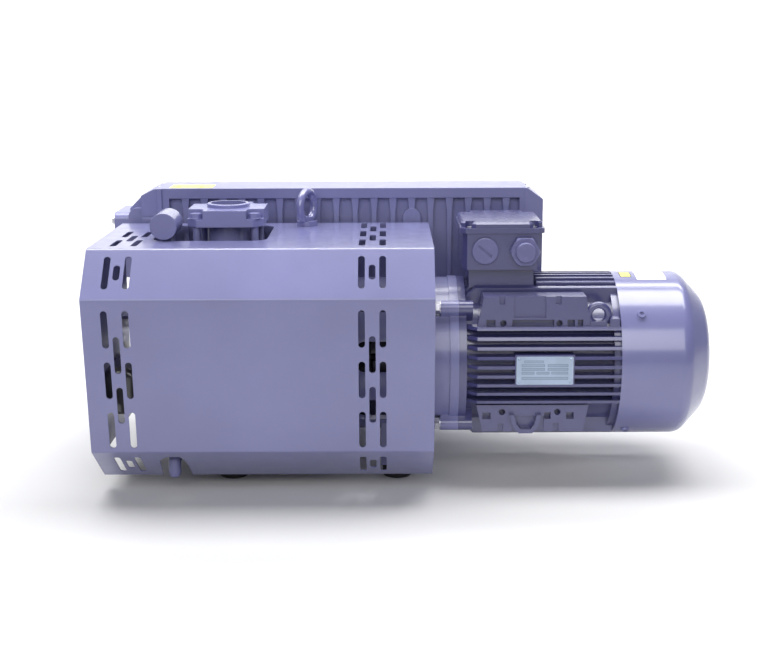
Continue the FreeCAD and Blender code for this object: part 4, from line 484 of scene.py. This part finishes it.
for row, (field_z, fields) in enumerate(FIELD_ROWS):
    for column, (field_x, field_width) in enumerate(fields):
        film("plate_field_%d_%d" % (row, column), field_width, FIELD_HEIGHT,
             on_plate(plate_low.x + field_x, plate_low.z + field_z), FIELD, FIELD_RIM,
             "plate_metal", FIELD_BORDER, (4, 2))

# ---- valve spring --------------------------------------------------------
SPRING_WIRE_R = 0.001
SPRING_TURNS = 6
SPRING_STEPS = 28                # rings of points in a turn
SPRING_SIDES = 10                # points round the wire
SPRING_CLOSING = 0.55            # 1 would lay the end turns flat


def valve_spring():
    """Round-wire spring with closed ends, built at one fixed length, though the lifting valve
    squashes it in the pump.
    """
    low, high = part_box("non_return_spring")
    centre = (low + high) / 2
    coil_r = (high.x - low.x) / 2 - SPRING_WIRE_R
    height = high.z - low.z - 2 * SPRING_WIRE_R
    count = SPRING_TURNS * SPRING_STEPS
    bm = bmesh.new()
    rings = []
    for i in range(count + 1):
        share = i / count
        turn = 2 * math.pi * SPRING_TURNS * share
        rise = share - math.sin(2 * math.pi * share) / (2 * math.pi) * SPRING_CLOSING
        out = Vector((math.cos(turn), math.sin(turn), 0.0))
        middle = Vector((centre.x, centre.y, low.z + SPRING_WIRE_R + height * rise)) + out * coil_r
        ring = []
        for k in range(SPRING_SIDES):
            a = 2 * math.pi * k / SPRING_SIDES
            ring.append(bm.verts.new(middle + out * (SPRING_WIRE_R * math.cos(a))
                                     + Vector((0, 0, SPRING_WIRE_R * math.sin(a)))))
        rings.append(ring)
    for a, b in zip(rings, rings[1:]):
        for k in range(SPRING_SIDES):
            m = (k + 1) % SPRING_SIDES
            bm.faces.new((a[k], b[k], b[m], a[m])).smooth = True
    bm.faces.new(rings[0])
    bm.faces.new(rings[-1][::-1])
    bmesh.ops.recalc_face_normals(bm, faces=bm.faces)
    mesh = bpy.data.meshes.new("valve_spring")
    bm.to_mesh(mesh)
    bm.free()
    mesh.materials.append(SLOTS["bright_steel"])
    obj = bpy.data.objects.new("valve_spring", mesh)
    SCENE.collection.objects.link(obj)
    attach(obj, "pump_body")
    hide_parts("non_return_spring")
    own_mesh(obj)


valve_spring()

# ---- floor and back wall -------------------------------------------------
FLOOR_FRONT = -6.0               # Y of the floor's front edge
CURVE_START = 2.0                # Y where the floor begins to curve up
CURVE_R = 1.6
CURVE_STEPS = 12
WALL_TOP = 6.0
STAGE_HALF_WIDTH = 7.0
FLOOR_DARK, FLOOR_PALE = (0.64, 0.64, 0.65, 1.0), (0.67, 0.67, 0.675, 1.0)


def floor_material():
    t = Tree("pale_floor")
    patches = t.remap(t.noise(scale=1.5), 0.0, 1.0)
    t.drive(t.mix(patches, FLOOR_DARK, FLOOR_PALE), "Base Color")
    t.fix("Roughness", 0.8)
    return t.mat


def cyclorama():
    """Floor that curves up into a back wall."""
    profile = [(FLOOR_FRONT, 0.0), (CURVE_START, 0.0)]
    for i in range(1, CURVE_STEPS + 1):
        a = math.radians(90 * i / CURVE_STEPS)
        profile.append((CURVE_START + CURVE_R * math.sin(a), CURVE_R * (1 - math.cos(a))))
    profile.append((CURVE_START + CURVE_R, WALL_TOP))
    bm = bmesh.new()
    left, right = [[bm.verts.new((x, y, z)) for y, z in profile]
                   for x in (-STAGE_HALF_WIDTH, STAGE_HALF_WIDTH)]
    for i in range(len(profile) - 1):
        bm.faces.new((left[i], right[i], right[i + 1], left[i + 1])).smooth = True
    mesh = bpy.data.meshes.new("cyclorama")
    bm.to_mesh(mesh)
    bm.free()
    mesh.materials.append(floor_material())
    obj = bpy.data.objects.new("cyclorama", mesh)
    SCENE.collection.objects.link(obj)
    return obj


cyclorama()

# ---- light ---------------------------------------------------------------
# Name, place, point it faces, size, watts.
LIGHTS = (
    ("overhead", (0.0, 0.05, 2.3), (0.0, 0.0, 0.2), (3.2, 1.0), 80.0),
    ("front_key", (-0.3, -3.3, 2.1), (0.0, 0.0, 0.35), (3.6, 2.0), 78.0),
    ("backdrop", (0.0, 1.7, 3.2), (0.0, 3.4, 0.9), (5.0, 1.0), 168.0),
)
WORLD_COLOUR = (0.93, 0.95, 1.0, 1.0)
WORLD_STRENGTH = 0.14


def area_light(name, place, aim, size, power):
    data = bpy.data.lights.new(name, "AREA")
    data.shape = "RECTANGLE"
    data.size, data.size_y = size
    data.energy = power
    obj = bpy.data.objects.new(name, data)
    SCENE.collection.objects.link(obj)
    obj.location = place
    facing = Vector(aim) - Vector(place)
    obj.rotation_euler = facing.to_track_quat("-Z", "Y").to_euler()


for light in LIGHTS:
    area_light(*light)
world = bpy.data.worlds.new("studio")
world.use_nodes = True
background = world.node_tree.nodes["Background"]
background.inputs["Color"].default_value = WORLD_COLOUR
background.inputs["Strength"].default_value = WORLD_STRENGTH
SCENE.world = world
